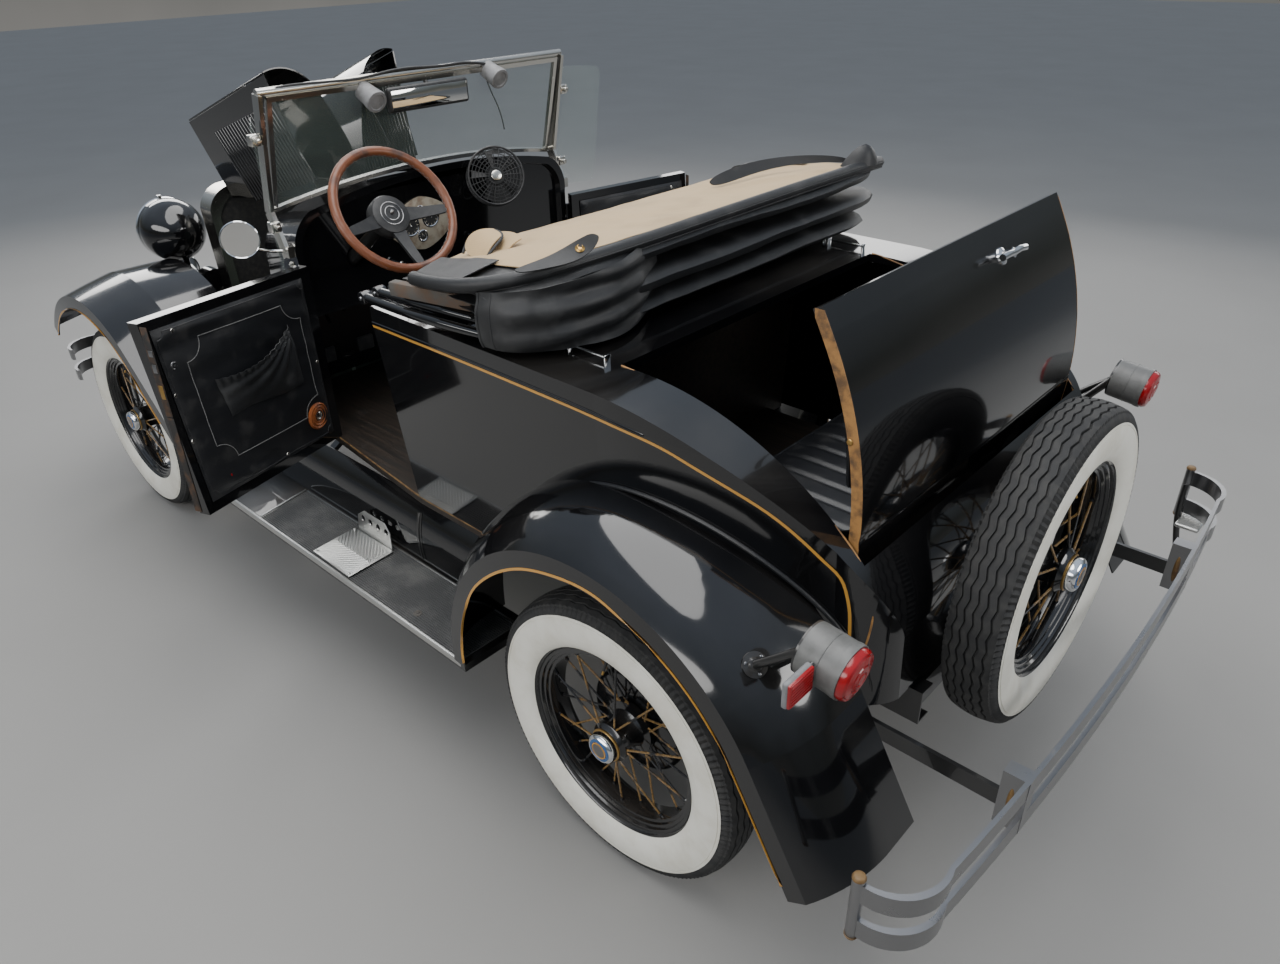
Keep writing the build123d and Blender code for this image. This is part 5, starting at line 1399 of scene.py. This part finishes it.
def addScreenFittings():
    parts, arms = [], []
    for x, y, z in screenSet["motors"]:
        centre = at(x, y, z)
        lean = Vector((-0.92, 0.0, -0.38)).normalized()
        parts.append(spun([(0, -0.042), (0.022, -0.042), (0.028, -0.034), (0.030, 0.0), (0.0335, 0.030),
                           (0.0315, 0.037), (0.024, 0.038), (0.022, 0.036), (0, 0.037)], centre, lean, 32))
        arms.append(rod(centre - lean * 0.04, at(1.478, y, 1.655), 0.007, 0.006, 12))
        arms.append(tube([at(1.470, y, 1.650), at(1.488, y - 0.02, 1.60), at(1.505, y - 0.085, 1.50),
                          at(1.515, y - 0.10, 1.44)], 0.0022))
    piece("wiper_motors", parts, greyMotor, "car", "nickel")
    arms.append(tube(spots(screenSet["cable"]), 0.0042))
    piece("wiper_arms_and_wire", arms, blackPlastic, "car", "chassis_paint")
    x, y, z = screenSet["mirror"]
    case = slab(at(x, y - 0.150, z - 0.036), at(x + 0.022, y + 0.150, z + 0.036), 0.010, 4)
    glass = inked(slab(at(x - 0.0012, y - 0.140, z - 0.027), at(x + 0.001, y + 0.140, z + 0.027), 0.0008, 2),
                  mirrorGlass)
    stem = rod(at(x + 0.020, y - 0.02, z + 0.01), at(1.475, y - 0.02, 1.662), 0.006, 0.008, 12)
    piece("driving_mirror", [inked(case, blackPlastic), glass, inked(stem, blackPlastic)], None, "car",
          "bright_metal")
    parts = []
    for side, quad in ((-1, screenSet["rightWing"]), (1, screenSet["leftWing"])):
        corners = [at(x, side * y, z) for x, y, z in quad]
        rounded = []
        for i, corner in enumerate(corners):
            before, after = corners[i - 1], corners[(i + 1) % 4]
            for k in range(5):
                t = k / 4
                a = corner + (before - corner).normalized() * screenSet["wingCorner"]
                b = corner + (after - corner).normalized() * screenSet["wingCorner"]
                rounded.append(a * (1 - t) ** 2 + corner * 2 * t * (1 - t) + b * t * t)
        normal = (corners[1] - corners[0]).cross(corners[3] - corners[0]).normalized()
        parts.append(plate(rounded, normal, 0.005, 0.0012))
    piece("wind_wings", parts, clearGlass, "car", "screen_glass")
    parts = []
    for side in (1, -1):
        for z, x, y in screenSet["clamps"]:
            parts.append(slab(at(x - 0.014, side * y - 0.016, z - 0.016),
                              at(x + 0.014, side * y + 0.016, z + 0.016), 0.005, 3))
            parts.append(rod(at(x - 0.03, side * y, z), at(x + 0.008, side * y, z), 0.008, 0.006, 16, 0.001))
    piece("wing_clamps", parts, nickel, "car", "nickel")
    centre, back = at(1.455, 0.700, 1.300), Vector((-0.86, 0.50, -0.05)).normalized()
    parts = [inked(spun([(0, -0.010), (0.030, -0.008), (0.050, 0.0), (0.054, 0.006), (0.052, 0.010),
                         (0.050, 0.008)],
                        centre, back, 48), chrome),
             inked(spun([(0, 0.0078), (0.0505, 0.0072), (0.0505, 0.0062), (0, 0.0062)], centre, back, 48),
                   mirrorGlass),
             inked(tube([centre - back * 0.008, at(1.490, 0.668, 1.262), at(1.482, 0.600, 1.235),
                         at(1.478, 0.572, 1.232)],
                        0.005), chrome)]
    piece("round_side_mirror", parts, None, "car", "bright_metal")


def addFan():
    centre = at(*screenSet["fan"])
    face = Vector((-0.80, 0.42, 0.30)).normalized()
    radius = screenSet["fanRadius"]
    level = face.cross(Vector((0, 0, 1))).normalized()
    upright = level.cross(face).normalized()
    parts = [hoop(centre + face * 0.018, face, radius, 0.0035, 64, 8),
             hoop(centre - face * 0.022, face, radius, 0.0035, 64, 8)]
    for share in (0.88, 0.76, 0.64, 0.52, 0.40):
        parts.append(hoop(centre + face * (0.018 + 0.010 * (1 - share)), face, radius * share, 0.0015, 48, 6))
    for k in range(screenSet["guardRays"]):
        turn = 2 * math.pi * k / screenSet["guardRays"]
        ray = level * math.cos(turn) + upright * math.sin(turn)
        parts.append(tube([centre + ray * radius - face * 0.022, centre + ray * radius + face * 0.018,
                           centre + ray * radius * 0.6 + face * 0.024, centre + ray * 0.024 + face * 0.025],
                          0.0013, bends=False, sides=1))
    for k in range(screenSet["blades"]):
        turn = 2 * math.pi * k / screenSet["blades"]
        ray = level * math.cos(turn) + upright * math.sin(turn)
        side = level * math.cos(turn + 0.34) + upright * math.sin(turn + 0.34)
        blade = meshPiece([centre + ray * 0.016 + face * 0.008, centre + ray * radius * 0.88 + face * 0.008,
                           centre + side * radius * 0.88 - face * 0.008,
                           centre + side * 0.016 - face * 0.004], [],
                          [(0, 1, 2, 3)])
        modified(blade, "SOLIDIFY", thickness=0.0018, offset=0)
        parts.append(rightOut(blade))
    parts.append(spun([(0, -0.030), (0.030, -0.030), (0.030, 0.004), (0.026, 0.016), (0, 0.018)], centre,
                      face, 32))
    parts.append(tube([centre - face * 0.028, at(1.455, -0.215, 1.250), at(1.462, -0.215, 1.215)], 0.007))
    for part in parts:
        inked(part, blackPlastic)
    badge = spun([(0, 0.0240), (0.0175, 0.0240), (0.0170, 0.0275), (0.013, 0.0290), (0, 0.0290)], centre,
                 face, 32)
    parts.append(inked(badge, nickel))
    piece("dash_fan", parts, None, "car", "chassis_paint")


addScreenFittings()
addFan()
print("windscreen fitted")


# Steering wheel and dash

wheelGripSet = {"centre": (1.205, 0.345, 1.350), "slope": 35, "ring": 0.179, "grip": 0.0138}


def addSteeringWheel():
    centre = at(*wheelGripSet["centre"])
    slope = math.radians(wheelGripSet["slope"])
    down = Vector((math.cos(slope), 0, -math.sin(slope)))
    up = Vector((math.sin(slope), 0, math.cos(slope)))
    side = Vector((0, 1, 0))
    ring, grip = wheelGripSet["ring"], wheelGripSet["grip"]
    rim = hoop(centre, down, ring, grip, 144, 16)
    for vertex in rim.data.vertices:
        spoke = vertex.co - centre
        turn = math.atan2(spoke.dot(up), spoke.dot(side))
        flat = spoke - down * spoke.dot(down)
        core = centre + flat.normalized() * ring
        swellOut = 1 - 0.07 * max(0, math.cos(turn * 30)) ** 6
        vertex.co = core + (vertex.co - core) * swellOut
    parts = [inked(rim, brownLeather)]
    lace = tube([centre + (side * math.cos(k / 120 * 2 * math.pi) + up * math.sin(k / 120 * 2 * math.pi))
                 * (ring - grip * (0.93 + 0.05 * (k % 2))) + down * 0.003 * (1 if k % 2 else -1)
                 for k in range(120)],
                0.0011, closed=True, bends=False, sides=1)
    parts.append(inked(lace, threadGrey))
    hub = centre + down * 0.036
    for ray in (side * 0.98 - up * 0.18, -side * 0.98 - up * 0.18, -up):
        ray = ray.normalized()
        across = ray.cross(down).normalized()
        rows = [hub + ray * 0.030, hub + ray * 0.075 - down * 0.004, centre + ray * 0.125 + down * 0.018,
                centre + ray * (ring - 0.004) + down * 0.002]
        arm = ribbon(rows, [0.052, 0.036, 0.030, 0.026], across, 0.009)
        parts.append(inked(arm, blackPlastic))
    boss = spun([(0, 0.040), (0.056, 0.040), (0.061, 0.032), (0.061, 0.006), (0.056, -0.003), (0.044, -0.007),
                 (0, -0.009)], centre + down * 0.030, down, 64)
    parts.append(inked(boss, blackPlastic))
    for radius in (0.034, 0.021):
        parts.append(inked(hoop(centre + down * (0.0205 + radius * 0.046), down, radius, 0.0014, 72, 8),
                           dullSilver))
    parts.append(inked(ball(centre + down * 0.0205, (0.003, 0.007, 0.010), 10), dullSilver))
    whole = piece("steering_wheel_laced", parts, None, "steering_wheel", "brown_rim")
    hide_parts("steering_wheel")


dialSet = {"centre": (1.4712, 0.083, 1.212), "wide": 0.132, "high": 0.086, "power": 1.5, "marks": 9,
           "mark": (0.68, 0.88), "dials": ((0.045, 0.000, 0.031), (-0.035, 0.014, 0.031),
                                           (0.004, -0.040, 0.017)),
           "knobs": ((0.27, 1.135), (0.31, 1.165), (-0.12, 1.125), (-0.17, 1.120), (0.20, 1.110)),
           "levers": ((1.50, -0.015, 1.36, -0.03, 0.98, 0.016), (1.58, 0.10, 1.50, 0.12, 0.90, 0.008)),
           "pedals": (0.42, 0.27)}
agedNickel = castFinish("aged_nickel", (0.30, 0.27, 0.21), (0.16, 0.11, 0.07), rough=0.42, scale=26,
                        depth=0.0004)
dialWhite = castFinish("dial_face", (0.45, 0.42, 0.34), (0.34, 0.31, 0.25), rough=0.4, scale=30, depth=0.0001)


def addDash():
    x, y, z = dialSet["centre"]
    back, power = Vector((-1, 0, 0)), dialSet["power"]
    outline = []
    for k in range(48):
        turn = 2 * math.pi * k / 48
        reach = 1 / (abs(math.cos(turn)) ** power + abs(math.sin(turn)) ** power) ** (1 / power)
        outline.append(at(x, y + dialSet["wide"] * math.cos(turn) * reach,
                          z + dialSet["high"] * math.sin(turn) * reach))
    parts = [inked(plate(outline, back, 0.006, 0.002), agedNickel)]
    for dy, dz, radius in dialSet["dials"]:
        spot = at(x - 0.0055, y + dy, z + dz)
        parts.append(inked(hoop(spot, back, radius, 0.0035, 48, 10), chrome))
        parts.append(inked(spun([(0, 0), (radius, 0), (radius, 0.0014), (0, 0.0014)], spot, back, 40),
                           blackPlastic))
        for k in range(dialSet["marks"]):
            turn = math.radians(-210 + 30 * k)
            ray = Vector((0, math.cos(turn), math.sin(turn)))
            inner, outer = (spot + back * 0.0016 + ray * radius * share for share in dialSet["mark"])
            parts.append(inked(rod(inner, outer, 0.0008, sides=6), dialWhite))
        foot, needle = spot + back * 0.002, Vector((0, 0.3, 0.8)).normalized() * radius * 0.7
        parts.append(inked(rod(foot, foot + needle, 0.0012, 0.0005, 6), dialWhite))
        parts.append(inked(spun([(0, 0.0014), (0.004, 0.0014), (0.003, 0.004), (0, 0.005)], spot, back, 16),
                           chrome))
    lamp = at(x - 0.005, y + 0.002, z + 0.045)
    parts.append(inked(hoop(lamp, back, 0.012, 0.0025, 32, 8), chrome))
    parts.append(inked(ball(lamp, (0.006, 0.0105, 0.0105), 10), amberLens))
    piece("instrument_plate", parts, None, "car", "nickel")
    knobs = []
    for y, z in dialSet["knobs"]:
        spot = at(x, y, z)
        knobs.append(inked(rod(spot, spot + back * 0.030, 0.0035, sides=12), chrome))
        knobs.append(inked(spun([(0, 0.028), (0.008, 0.028), (0.010, 0.034), (0.008, 0.040), (0, 0.042)],
                                spot, back, 20),
                           chrome if y > 0 else blackPlastic))
    knobs.append(inked(spun([(0, 0), (0.012, 0), (0.010, 0.004), (0, 0.005)], at(x, 0.36, 1.255), back, 24),
                       brass))
    piece("dash_knobs", knobs, None, "car", "bright_metal")
    levers = []
    for x0, y0, x1, y1, high, knob in dialSet["levers"]:
        levers.append(inked(tube([at(x0, y0, 0.70), at((x0 + x1) / 2 - 0.02, (y0 + y1) / 2, 0.84),
                                  at(x1, y1, high)], 0.006),
                            chassisPaint))
        levers.append(inked(ball(at(x1, y1, high + knob * 0.8), knob, 12), blackPlastic))
    for y0 in dialSet["pedals"]:
        levers.append(inked(tube([at(1.80, y0, 0.72), at(1.70, y0, 0.755), at(1.64, y0, 0.80)], 0.007),
                            chassisPaint))
        pad = slab(at(1.628, y0 - 0.032, 0.785), at(1.640, y0 + 0.032, 0.835), 0.004, 3)
        levers.append(inked(pad, rubber))
    piece("levers_and_pedals", levers, None, "car", "chassis_paint")


addSteeringWheel()
addDash()
print("steering wheel and dash built")


# Bonnet louvres

louvreSet = {"count": 22, "from": -0.30, "to": 0.17, "low": -0.150, "high": 0.120, "radius": 0.0088}


def addLouvres():
    for side in ("left", "right"):
        panel = nodes[f"bonnet_side_{side}"]
        places = np.array([vertex.co for vertex in panel.data.vertices])
        axes = np.linalg.svd(places - places.mean(axis=0), full_matrices=False)[2]
        flat = (places - places.mean(axis=0)) @ axes.T
        reach = (flat.max(axis=0) + flat.min(axis=0)) / 2
        centre = places.mean(axis=0) + reach[0] * axes[0] + reach[1] * axes[1]
        along = Vector(axes[0]) if axes[0][0] > 0 else -Vector(axes[0])
        upright = Vector(axes[1]) if axes[1][2] > 0 else -Vector(axes[1])
        parts = []
        for k in range(louvreSet["count"]):
            s = louvreSet["from"] + (louvreSet["to"] - louvreSet["from"]) * k / (louvreSet["count"] - 1)
            middleSpot = Vector(centre) + along * s
            parts.append(rod(middleSpot + upright * louvreSet["low"],
                             middleSpot + upright * louvreSet["high"], louvreSet["radius"],
                             louvreSet["radius"] * 0.8, 12, 0.0025))
        piece(f"bonnet_louvres_{side}", parts, blackPaint, f"bonnet_side_{side}", "body_paint")


addLouvres()
print("louvres pressed")


# Lamps

zincGrey = castFinish("zinc_grey", (0.125, 0.125, 0.120), (0.085, 0.085, 0.080), rough=0.42, scale=20,
                      depth=0.0002)
lampSet = {"foot": (-0.40, 0.755, 0.85), "front": (2.862, 0.360, 1.020), "frontRadius": 0.119,
           "reflector": (-0.545, 0.836, 0.940)}


def addHeadlamps():
    x, y, z = lampSet["front"]
    radius = lampSet["frontRadius"]
    ahead = Vector((1, 0, 0))
    rims, glasses = [], []
    for side in (1, -1):
        centre = at(x, side * y, z)
        rims.append(spun([(radius - 0.010, -0.004), (radius + 0.001, -0.004), (radius + 0.003, 0.004),
                          (radius, 0.011), (radius - 0.008, 0.014), (radius - 0.012, 0.010)], centre, ahead,
                         96))
        rims.append(slab(centre + Vector((-0.002, -0.009, radius - 0.004)),
                         centre + Vector((0.012, 0.009, radius + 0.012)), 0.003, 3))
        glasses.append(spun([(0, 0.0005), (radius - 0.006, 0.0005), (radius - 0.006, 0.006),
                             (radius * 0.8, 0.012), (radius * 0.5, 0.018), (0, 0.021)], centre, ahead, 96))
        for k in range(-5, 6):
            high = math.sqrt(max(0, (radius * 0.86) ** 2 - (k * 0.018) ** 2))
            glasses.append(rod(centre + Vector((0.0145 - abs(k) * 0.0011, k * 0.018, -high)),
                               centre + Vector((0.0145 - abs(k) * 0.0011, k * 0.018, high)), 0.0035, sides=8))
    piece("headlamp_rims", rims, chrome, "car", "bright_metal")
    piece("headlamp_glasses", glasses, lampGlass, "car", "screen_glass")
    horn = [spun([(0.050, -0.004), (0.062, -0.004), (0.065, 0.0), (0.062, 0.005), (0.052, 0.005)],
                 at(2.959, 0.300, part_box("headlamps_horn")[0].z + 0.062), ahead, 64)]
    piece("horn_rim", horn, chrome, "car", "bright_metal")


def lampFace(side):
    # centre, direction and radius of the drum's flat face
    mesh = nodes["tail_lamps"].data
    groups = {}
    for face in mesh.polygons:
        if face.center.y * side > 0 and face.normal.x < -0.5:
            groups.setdefault(tuple(round(part, 2) for part in face.normal), []).append(face)
    flat = max(groups.values(), key=lambda group: sum(face.area for face in group))
    spots = {tuple(round(part, 4) for part in mesh.vertices[k].co) for face in flat for k in face.vertices}
    places = np.array(sorted(spots))
    centre = Vector((places.max(axis=0) + places.min(axis=0)) / 2)
    back = flat[0].normal.copy()
    radius = max((Vector(place) - centre).length for place in places)
    depth = 0.0
    for vertex in mesh.vertices:
        along = (vertex.co - centre).dot(back)
        if abs((vertex.co - centre - back * along).length - radius) < 0.03 * radius:
            depth = min(depth, along)
    return centre, back, radius, depth


def addTailLamps():
    lenses, drums = [], []
    for side in (1, -1):
        centre, back, radius, depth = lampFace(side)
        lenses.append(spun([(0, 0.0), (radius * 0.96, 0.0), (radius * 0.97, 0.012), (radius * 0.90, 0.0185),
                            (radius * 0.84, 0.0170), (radius * 0.80, 0.0205), (radius * 0.56, 0.0235),
                            (radius * 0.52, 0.0215), (radius * 0.47, 0.0245), (radius * 0.30, 0.0255),
                            (radius * 0.26, 0.0235), (radius * 0.20, 0.0260), (0, 0.0265)], centre, back, 72))
        drums.append(spun([(radius * 0.98, 0.005), (radius * 1.03, 0.005), (radius * 1.04, -0.004),
                           (radius * 1.02, -0.010), (radius * 0.98, -0.010)], centre, back, 72))
        drums.append(spun([(0, depth - 0.001), (radius * 0.94, depth - 0.001),
                           (radius * 1.006, depth + 0.005), (radius * 1.012, depth + 0.010),
                           (radius * 1.012, -0.002), (0, -0.002)], centre, back, 72))
        drums.append(hoop(centre + back * depth * 0.45, back, radius * 1.012, 0.0011, 64, 6))
    piece("tail_lamp_lenses", lenses, redLens, "car", "bright_metal")
    piece("tail_lamp_rims", drums, zincGrey, "car", "nickel")
    x, y, z = lampSet["reflector"]
    tray = slab(at(x, y - 0.037, z - 0.027), at(x + 0.012, y + 0.037, z + 0.027), 0.004, 3)
    stay = rod(at(x + 0.006, y - 0.02, z + 0.01), at(x + 0.006, y - 0.075, z + 0.025), 0.005, sides=12)
    face = slab(at(x - 0.005, y - 0.035, z - 0.025), at(x + 0.004, y + 0.035, z + 0.025), 0.0025, 3)
    ribs = [slab(at(x - 0.0064, y - 0.031, z - 0.022 + 0.0065 * k),
                 at(x - 0.004, y + 0.031, z - 0.0185 + 0.0065 * k), 0.0008)
            for k in range(7)]
    parts = [inked(tray, greyMotor), inked(stay, chassisPaint), inked(face, redLens)]
    piece("side_reflector", parts + [inked(rib, redLens) for rib in ribs], None, "car", "bright_metal")
    arms = []
    fender = skin("fenders_rear")
    for side in (1, -1):
        centre, back, radius, depth = lampFace(side)
        place, normal = fender.find_nearest(at(*lampSet["foot"][:1], side * lampSet["foot"][1],
                                               lampSet["foot"][2]))[:2]
        if normal.z < 0:
            normal = -normal
        arms.append(inked(spun([(0, 0), (0.026, 0), (0.025, 0.004), (0.015, 0.0055), (0.011, 0.010),
                                (0, 0.011)], place,
                               normal, 40), chassisPaint))
        arms.append(inked(tube([place + normal * 0.004, place + normal * 0.030,
                                centre + back * (depth + 0.006)], 0.0085,
                               sides=4), chassisPaint))
        out = normal.orthogonal().normalized()
        other = normal.cross(out)
        for k in range(3):
            turn = 2 * math.pi * k / 3
            spot = place + (out * math.cos(turn) + other * math.sin(turn)) * 0.019
            arms.append(inked(rod(spot, spot + normal * 0.008, 0.0042, 0.0035, 6, 0.001), dullSilver))
    piece("tail_lamp_feet", arms, None, "car", "chassis_paint")


addHeadlamps()
addTailLamps()
print("lamps fitted")


# Running boards

boardSet = {"top": 0.410, "rear": 0.462, "front": 1.500, "skew": 0.040, "inner": 0.640, "outer": 0.826,
            "ribs": 26}
matRubber = castFinish("ribbed_mat", (0.050, 0.050, 0.050), (0.095, 0.094, 0.090), rough=0.62, scale=9,
                       depth=0.0003)


def ribbedMat():
    span = boardSet["outer"] - boardSet["inner"]
    pitch = span / boardSet["ribs"]
    profile = []
    for k in range(boardSet["ribs"]):
        y = boardSet["inner"] + pitch * k
        profile += [(y, 0.0014), (y + pitch * 0.2, 0.0042), (y + pitch * 0.6, 0.0042),
                    (y + pitch * 0.8, 0.0014)]
    profile += [(boardSet["outer"], 0.0016), (boardSet["outer"], -0.001), (boardSet["inner"], -0.001)]
    count = len(profile)
    points = []
    for end in (0, 1):
        for y, h in profile:
            skew = boardSet["skew"] * (boardSet["outer"] - y) / span
            points.append(at(boardSet["front"] + skew if end else boardSet["rear"], y, boardSet["top"] + h))
    faces = [(i, (i + 1) % count, count + (i + 1) % count, count + i) for i in range(count)]
    return rightOut(meshPiece(points, [], faces + [tuple(range(count)),
                                                   tuple(range(2 * count - 1, count - 1, -1))]))


def addBoards():
    top = boardSet["top"]
    bothSides("board_mat", [ribbedMat()], matRubber, "board_rubber")
    inner, outer, back, front = boardSet["inner"], boardSet["outer"], boardSet["rear"], boardSet["front"]
    trims = [slab(at(back - 0.006, outer, top - 0.016), at(1.955, outer + 0.0095, top + 0.0052), 0.0025, 3),
             slab(at(back, inner - 0.006, top - 0.001), at(front + 0.04, inner, top + 0.0042), 0.001)]
    bar = plate([at(front, outer, top + 0.0042), at(front + 0.04, inner, top + 0.0042),
                 at(front + 0.046, inner, top + 0.0042), at(front + 0.006, outer, top + 0.0042)], (0, 0, 1),
                0.005, 0.001)
    bothSides("board_trims", [*trims, bar], aluminium, "board_rubber")
    washer = spun([(0, 0), (0.013, 0), (0.012, 0.0022), (0.006, 0.003), (0.005, 0.0055), (0, 0.006)],
                  at(0.704, 0.789, top + 0.0030), (0, 0, 1), 24)
    bothSides("board_bolt", [washer], rustySteel, "old_steel")


stepSet = {"corners": [(1.190, 0.822), (0.990, 0.824), (1.000, 0.662), (1.206, 0.664)], "base": 0.4145,
           "thick": 0.0035, "pitch": 0.0095, "wall": 0.500}


def clipped(start, direction, corners):
    # where a straight line crosses a four-sided outline
    hits = []
    for a, b in zip(corners, corners[1:] + corners[:1]):
        side = b - a
        crossing = direction.x * side.y - direction.y * side.x
        if abs(crossing) > 1e-9:
            t = ((a - start).x * side.y - (a - start).y * side.x) / crossing
            u = ((a - start).x * direction.y - (a - start).y * direction.x) / crossing
            if -1e-6 <= u <= 1 + 1e-6:
                hits.append(t)
    return (min(hits), max(hits)) if len(hits) > 1 else None


def addStepPlate():
    base, thick = stepSet["base"], stepSet["thick"]
    corners = [at(x, y, base + thick) for x, y in stepSet["corners"]]
    parts = [plate(corners, (0, 0, 1), thick, 0.0012)]
    centre = sum(corners, Vector()) / 4
    inset = [centre + (corner - centre) * 0.92 for corner in corners]
    halves = [(inset[0], inset[1], (inset[1] + inset[2]) / 2, (inset[0] + inset[3]) / 2, 1),
              ((inset[0] + inset[3]) / 2, (inset[1] + inset[2]) / 2, inset[2], inset[3], -1)]
    for a, b, c, d, sense in halves:
        ring = [a, b, c, d]
        direction = Vector((1, 0.75 * sense, 0)).normalized()
        step = Vector((-direction.y, direction.x, 0))
        for k in range(-30, 31):
            start = (a + c) / 2 + step * stepSet["pitch"] * k + Vector((0, 0, thick))
            span = clipped(start, direction, ring)
            if span and span[1] - span[0] > 0.006:
                first, last = start + direction * span[0], start + direction * span[1]
                parts.append(rod(first, last, 0.0022, sides=6))
    wall = [at(1.188, 0.660, base + 0.001), at(1.010, 0.658, base + 0.001), at(1.016, 0.652, 0.470),
            at(1.040, 0.651, stepSet["wall"]), at(1.150, 0.651, stepSet["wall"]), at(1.186, 0.653, 0.475)]
    upright = plate(wall, (0, 1, 0.09), 0.0035, 0.001)
    for k in range(4):
        x = 1.035 + 0.041 * k
        cutter = rod(at(x, 0.62, 0.472), at(x, 0.69, 0.472), 0.0105, sides=24)
        modified(upright, "BOOLEAN", operation="DIFFERENCE", object=cutter, solver="EXACT")
        bpy.data.objects.remove(cutter)
    parts.append(upright)
    for x, y in ((1.180, 0.814), (1.000, 0.816), (1.196, 0.672)):
        parts.append(rod(at(x, y, base + thick), at(x, y, base + thick * 2 + 0.0035), 0.0050, 0.0038, 12,
                         0.001))
    piece("step_plate", parts, aluminium, "car", "bright_metal", angle=30)


addBoards()
addStepPlate()
print("running boards laid")


# Small outside fittings

fittingSet = {"clamp": (-0.818, 0.495, 0.594), "pad": (-0.762, -0.862, 0.507)}


def bumperEnd(side):
    # where the bars' ends come back towards the fender
    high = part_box("rear_bumper")[1].x
    spots = [vertex.co for vertex in nodes["rear_bumper"].data.vertices
             if vertex.co.x > high - 0.02 and vertex.co.y * side > 0.6]
    return sum(spots, Vector()) / len(spots)


def addRearFittings():
    x, y, z = fittingSet["clamp"]
    clamps = []
    for side in (1, -1):
        clamps.append(inked(ball(at(x - 0.006, side * y, z), (0.010, 0.024, 0.058), 24), agedBrass))
        for h in (-0.022, 0.022):
            clamps.append(inked(rod(at(x - 0.010, side * y, z + h), at(x - 0.026, side * y, z + h), 0.010,
                                    0.009, 6, 0.0015),
                                dullSilver))
        end = bumperEnd(side)
        clamps.append(inked(rod(Vector((end.x, end.y, 0.520)), Vector((end.x, end.y, 0.674)), 0.0115, 0.0115,
                                24, 0.002),
                            dullSilver))
        for low, high in ((0.670, 0.678), (0.524, 0.516)):
            clamps.append(inked(rod(Vector((end.x, end.y, low)), Vector((end.x, end.y, high)), 0.0135, 0.010,
                                    24, 0.002),
                                agedBrass))
    piece("bumper_clamps", clamps, None, "car", "old_steel")
    x, y, z = fittingSet["pad"]
    end = bumperEnd(-1)
    x, y = end.x - rear - 0.044, end.y + 0.010
    pad = [slab(at(x - 0.030, y - 0.048, z), at(x + 0.034, y + 0.048, z + 0.012), 0.005, 3)]
    pad += [slab(at(x - 0.026, y - 0.044 + 0.0082 * k, z + 0.010),
                 at(x + 0.030, y - 0.0395 + 0.0082 * k, z + 0.0145), 0.001)
            for k in range(11)]
    piece("bumper_step", pad, aluminium, "car", "bright_metal")
    arm = tube([at(x + 0.022, y, z - 0.078), at(x + 0.036, y, z - 0.02), at(x + 0.044, y, z + 0.05),
                at(x + 0.042, y, z + 0.118)], 0.009, sides=4)
    piece("bumper_step_arm", [arm], chassisPaint, "car", "chassis_paint")


agedBrass = castFinish("aged_brass", (0.17, 0.10, 0.035), (0.07, 0.035, 0.015), rough=0.5, scale=34,
                       depth=0.0006)
hingeSet = {"out": 0.552, "leaves": ((0.730, 0.800, chassisPaint), (0.920, 1.045, nickel),
                                     (1.100, 1.165, agedBrass), (1.168, 1.195, nickel))}


def addHinges():
    parts = []
    for side in (1, -1):
        y = side * hingeSet["out"]
        low = at(1.474, y, 0.72)
        for bottom, top, stuff in hingeSet["leaves"]:
            parts.append(inked(rod(Vector((low.x, low.y, bottom)), Vector((low.x, low.y, top)), 0.0075,
                                   sides=16, edge=0.0015), stuff))
            parts.append(inked(slab(at(1.462, y - 0.004, bottom + 0.008), at(1.490, y + 0.004, top - 0.008),
                                    0.001),
                               stuff))
    piece("door_hinge_leaves", parts, None, "car", "nickel")


def addRadiatorTrim():
    low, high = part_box("radiator_shell")
    top = Vector(((low.x + high.x) / 2, 0, high.z))
    cap = [spun([(0, -0.012), (0.024, -0.012), (0.024, 0.004), (0.038, 0.006), (0.040, 0.012), (0.036, 0.020),
                 (0.022, 0.026), (0.010, 0.030), (0, 0.031)], top, (0, 0, 1), 48)]
    cap += [ball(top + Vector((0, side * 0.040, 0.014)), (0.007, 0.014, 0.006), 12) for side in (1, -1)]
    piece("radiator_cap", cap, chrome, "car", "bright_metal")
    tree = skin("radiator_core")
    lines = []
    for k in range(-20, 21):
        hit = tree.ray_cast(Vector((high.x + 0.2, k * 0.0115, 0.70)), Vector((-1, 0, 0)))[0]
        if hit is not None:
            for bottom, upper in ((0.64, 0.86), (0.865, 1.10)):
                lines.append(slab(Vector((hit.x - 0.001, k * 0.0115 - 0.0016, bottom)),
                                  Vector((hit.x + 0.0035, k * 0.0115 + 0.0016, upper)), 0.0004))
    piece("radiator_fins", lines, coreIron, "car", "chassis_paint")


addRearFittings()
addHinges()
addRadiatorTrim()
print("fittings added")


sillSet = {"line": [(1.452, 0.575, 0.627), (1.20, 0.600, 0.627), (0.915, 0.615, 0.627), (0.70, 0.62, 0.627),
                    (0.490, 0.62, 0.627)], "strap": [(0.908, 0.66, 0.600), (0.896, 0.66, 0.52),
                                                     (0.884, 0.66, 0.43)]}


def addSills():
    floor, aprons = skin("cockpit_floor"), skin("splash_aprons")
    run = evened(nearSkin(floor, smoothRun(spots(sillSet["line"]), 0.03)))
    bothSides("sill_line", [tube([place + normal * 0.001 for place, normal in run], 0.0026)], agedBrass,
              "old_steel")
    run = evened(nearSkin(aprons, smoothRun(spots(sillSet["strap"]), 0.01)))
    strap = lined(run, 0.022, chassisPaint, 0.0012)
    joint = tube([place + normal * 0.002 for place, normal in run], 0.0022)
    bothSides("apron_joint", [strap, joint], chassisPaint, "body_paint")


addSills()
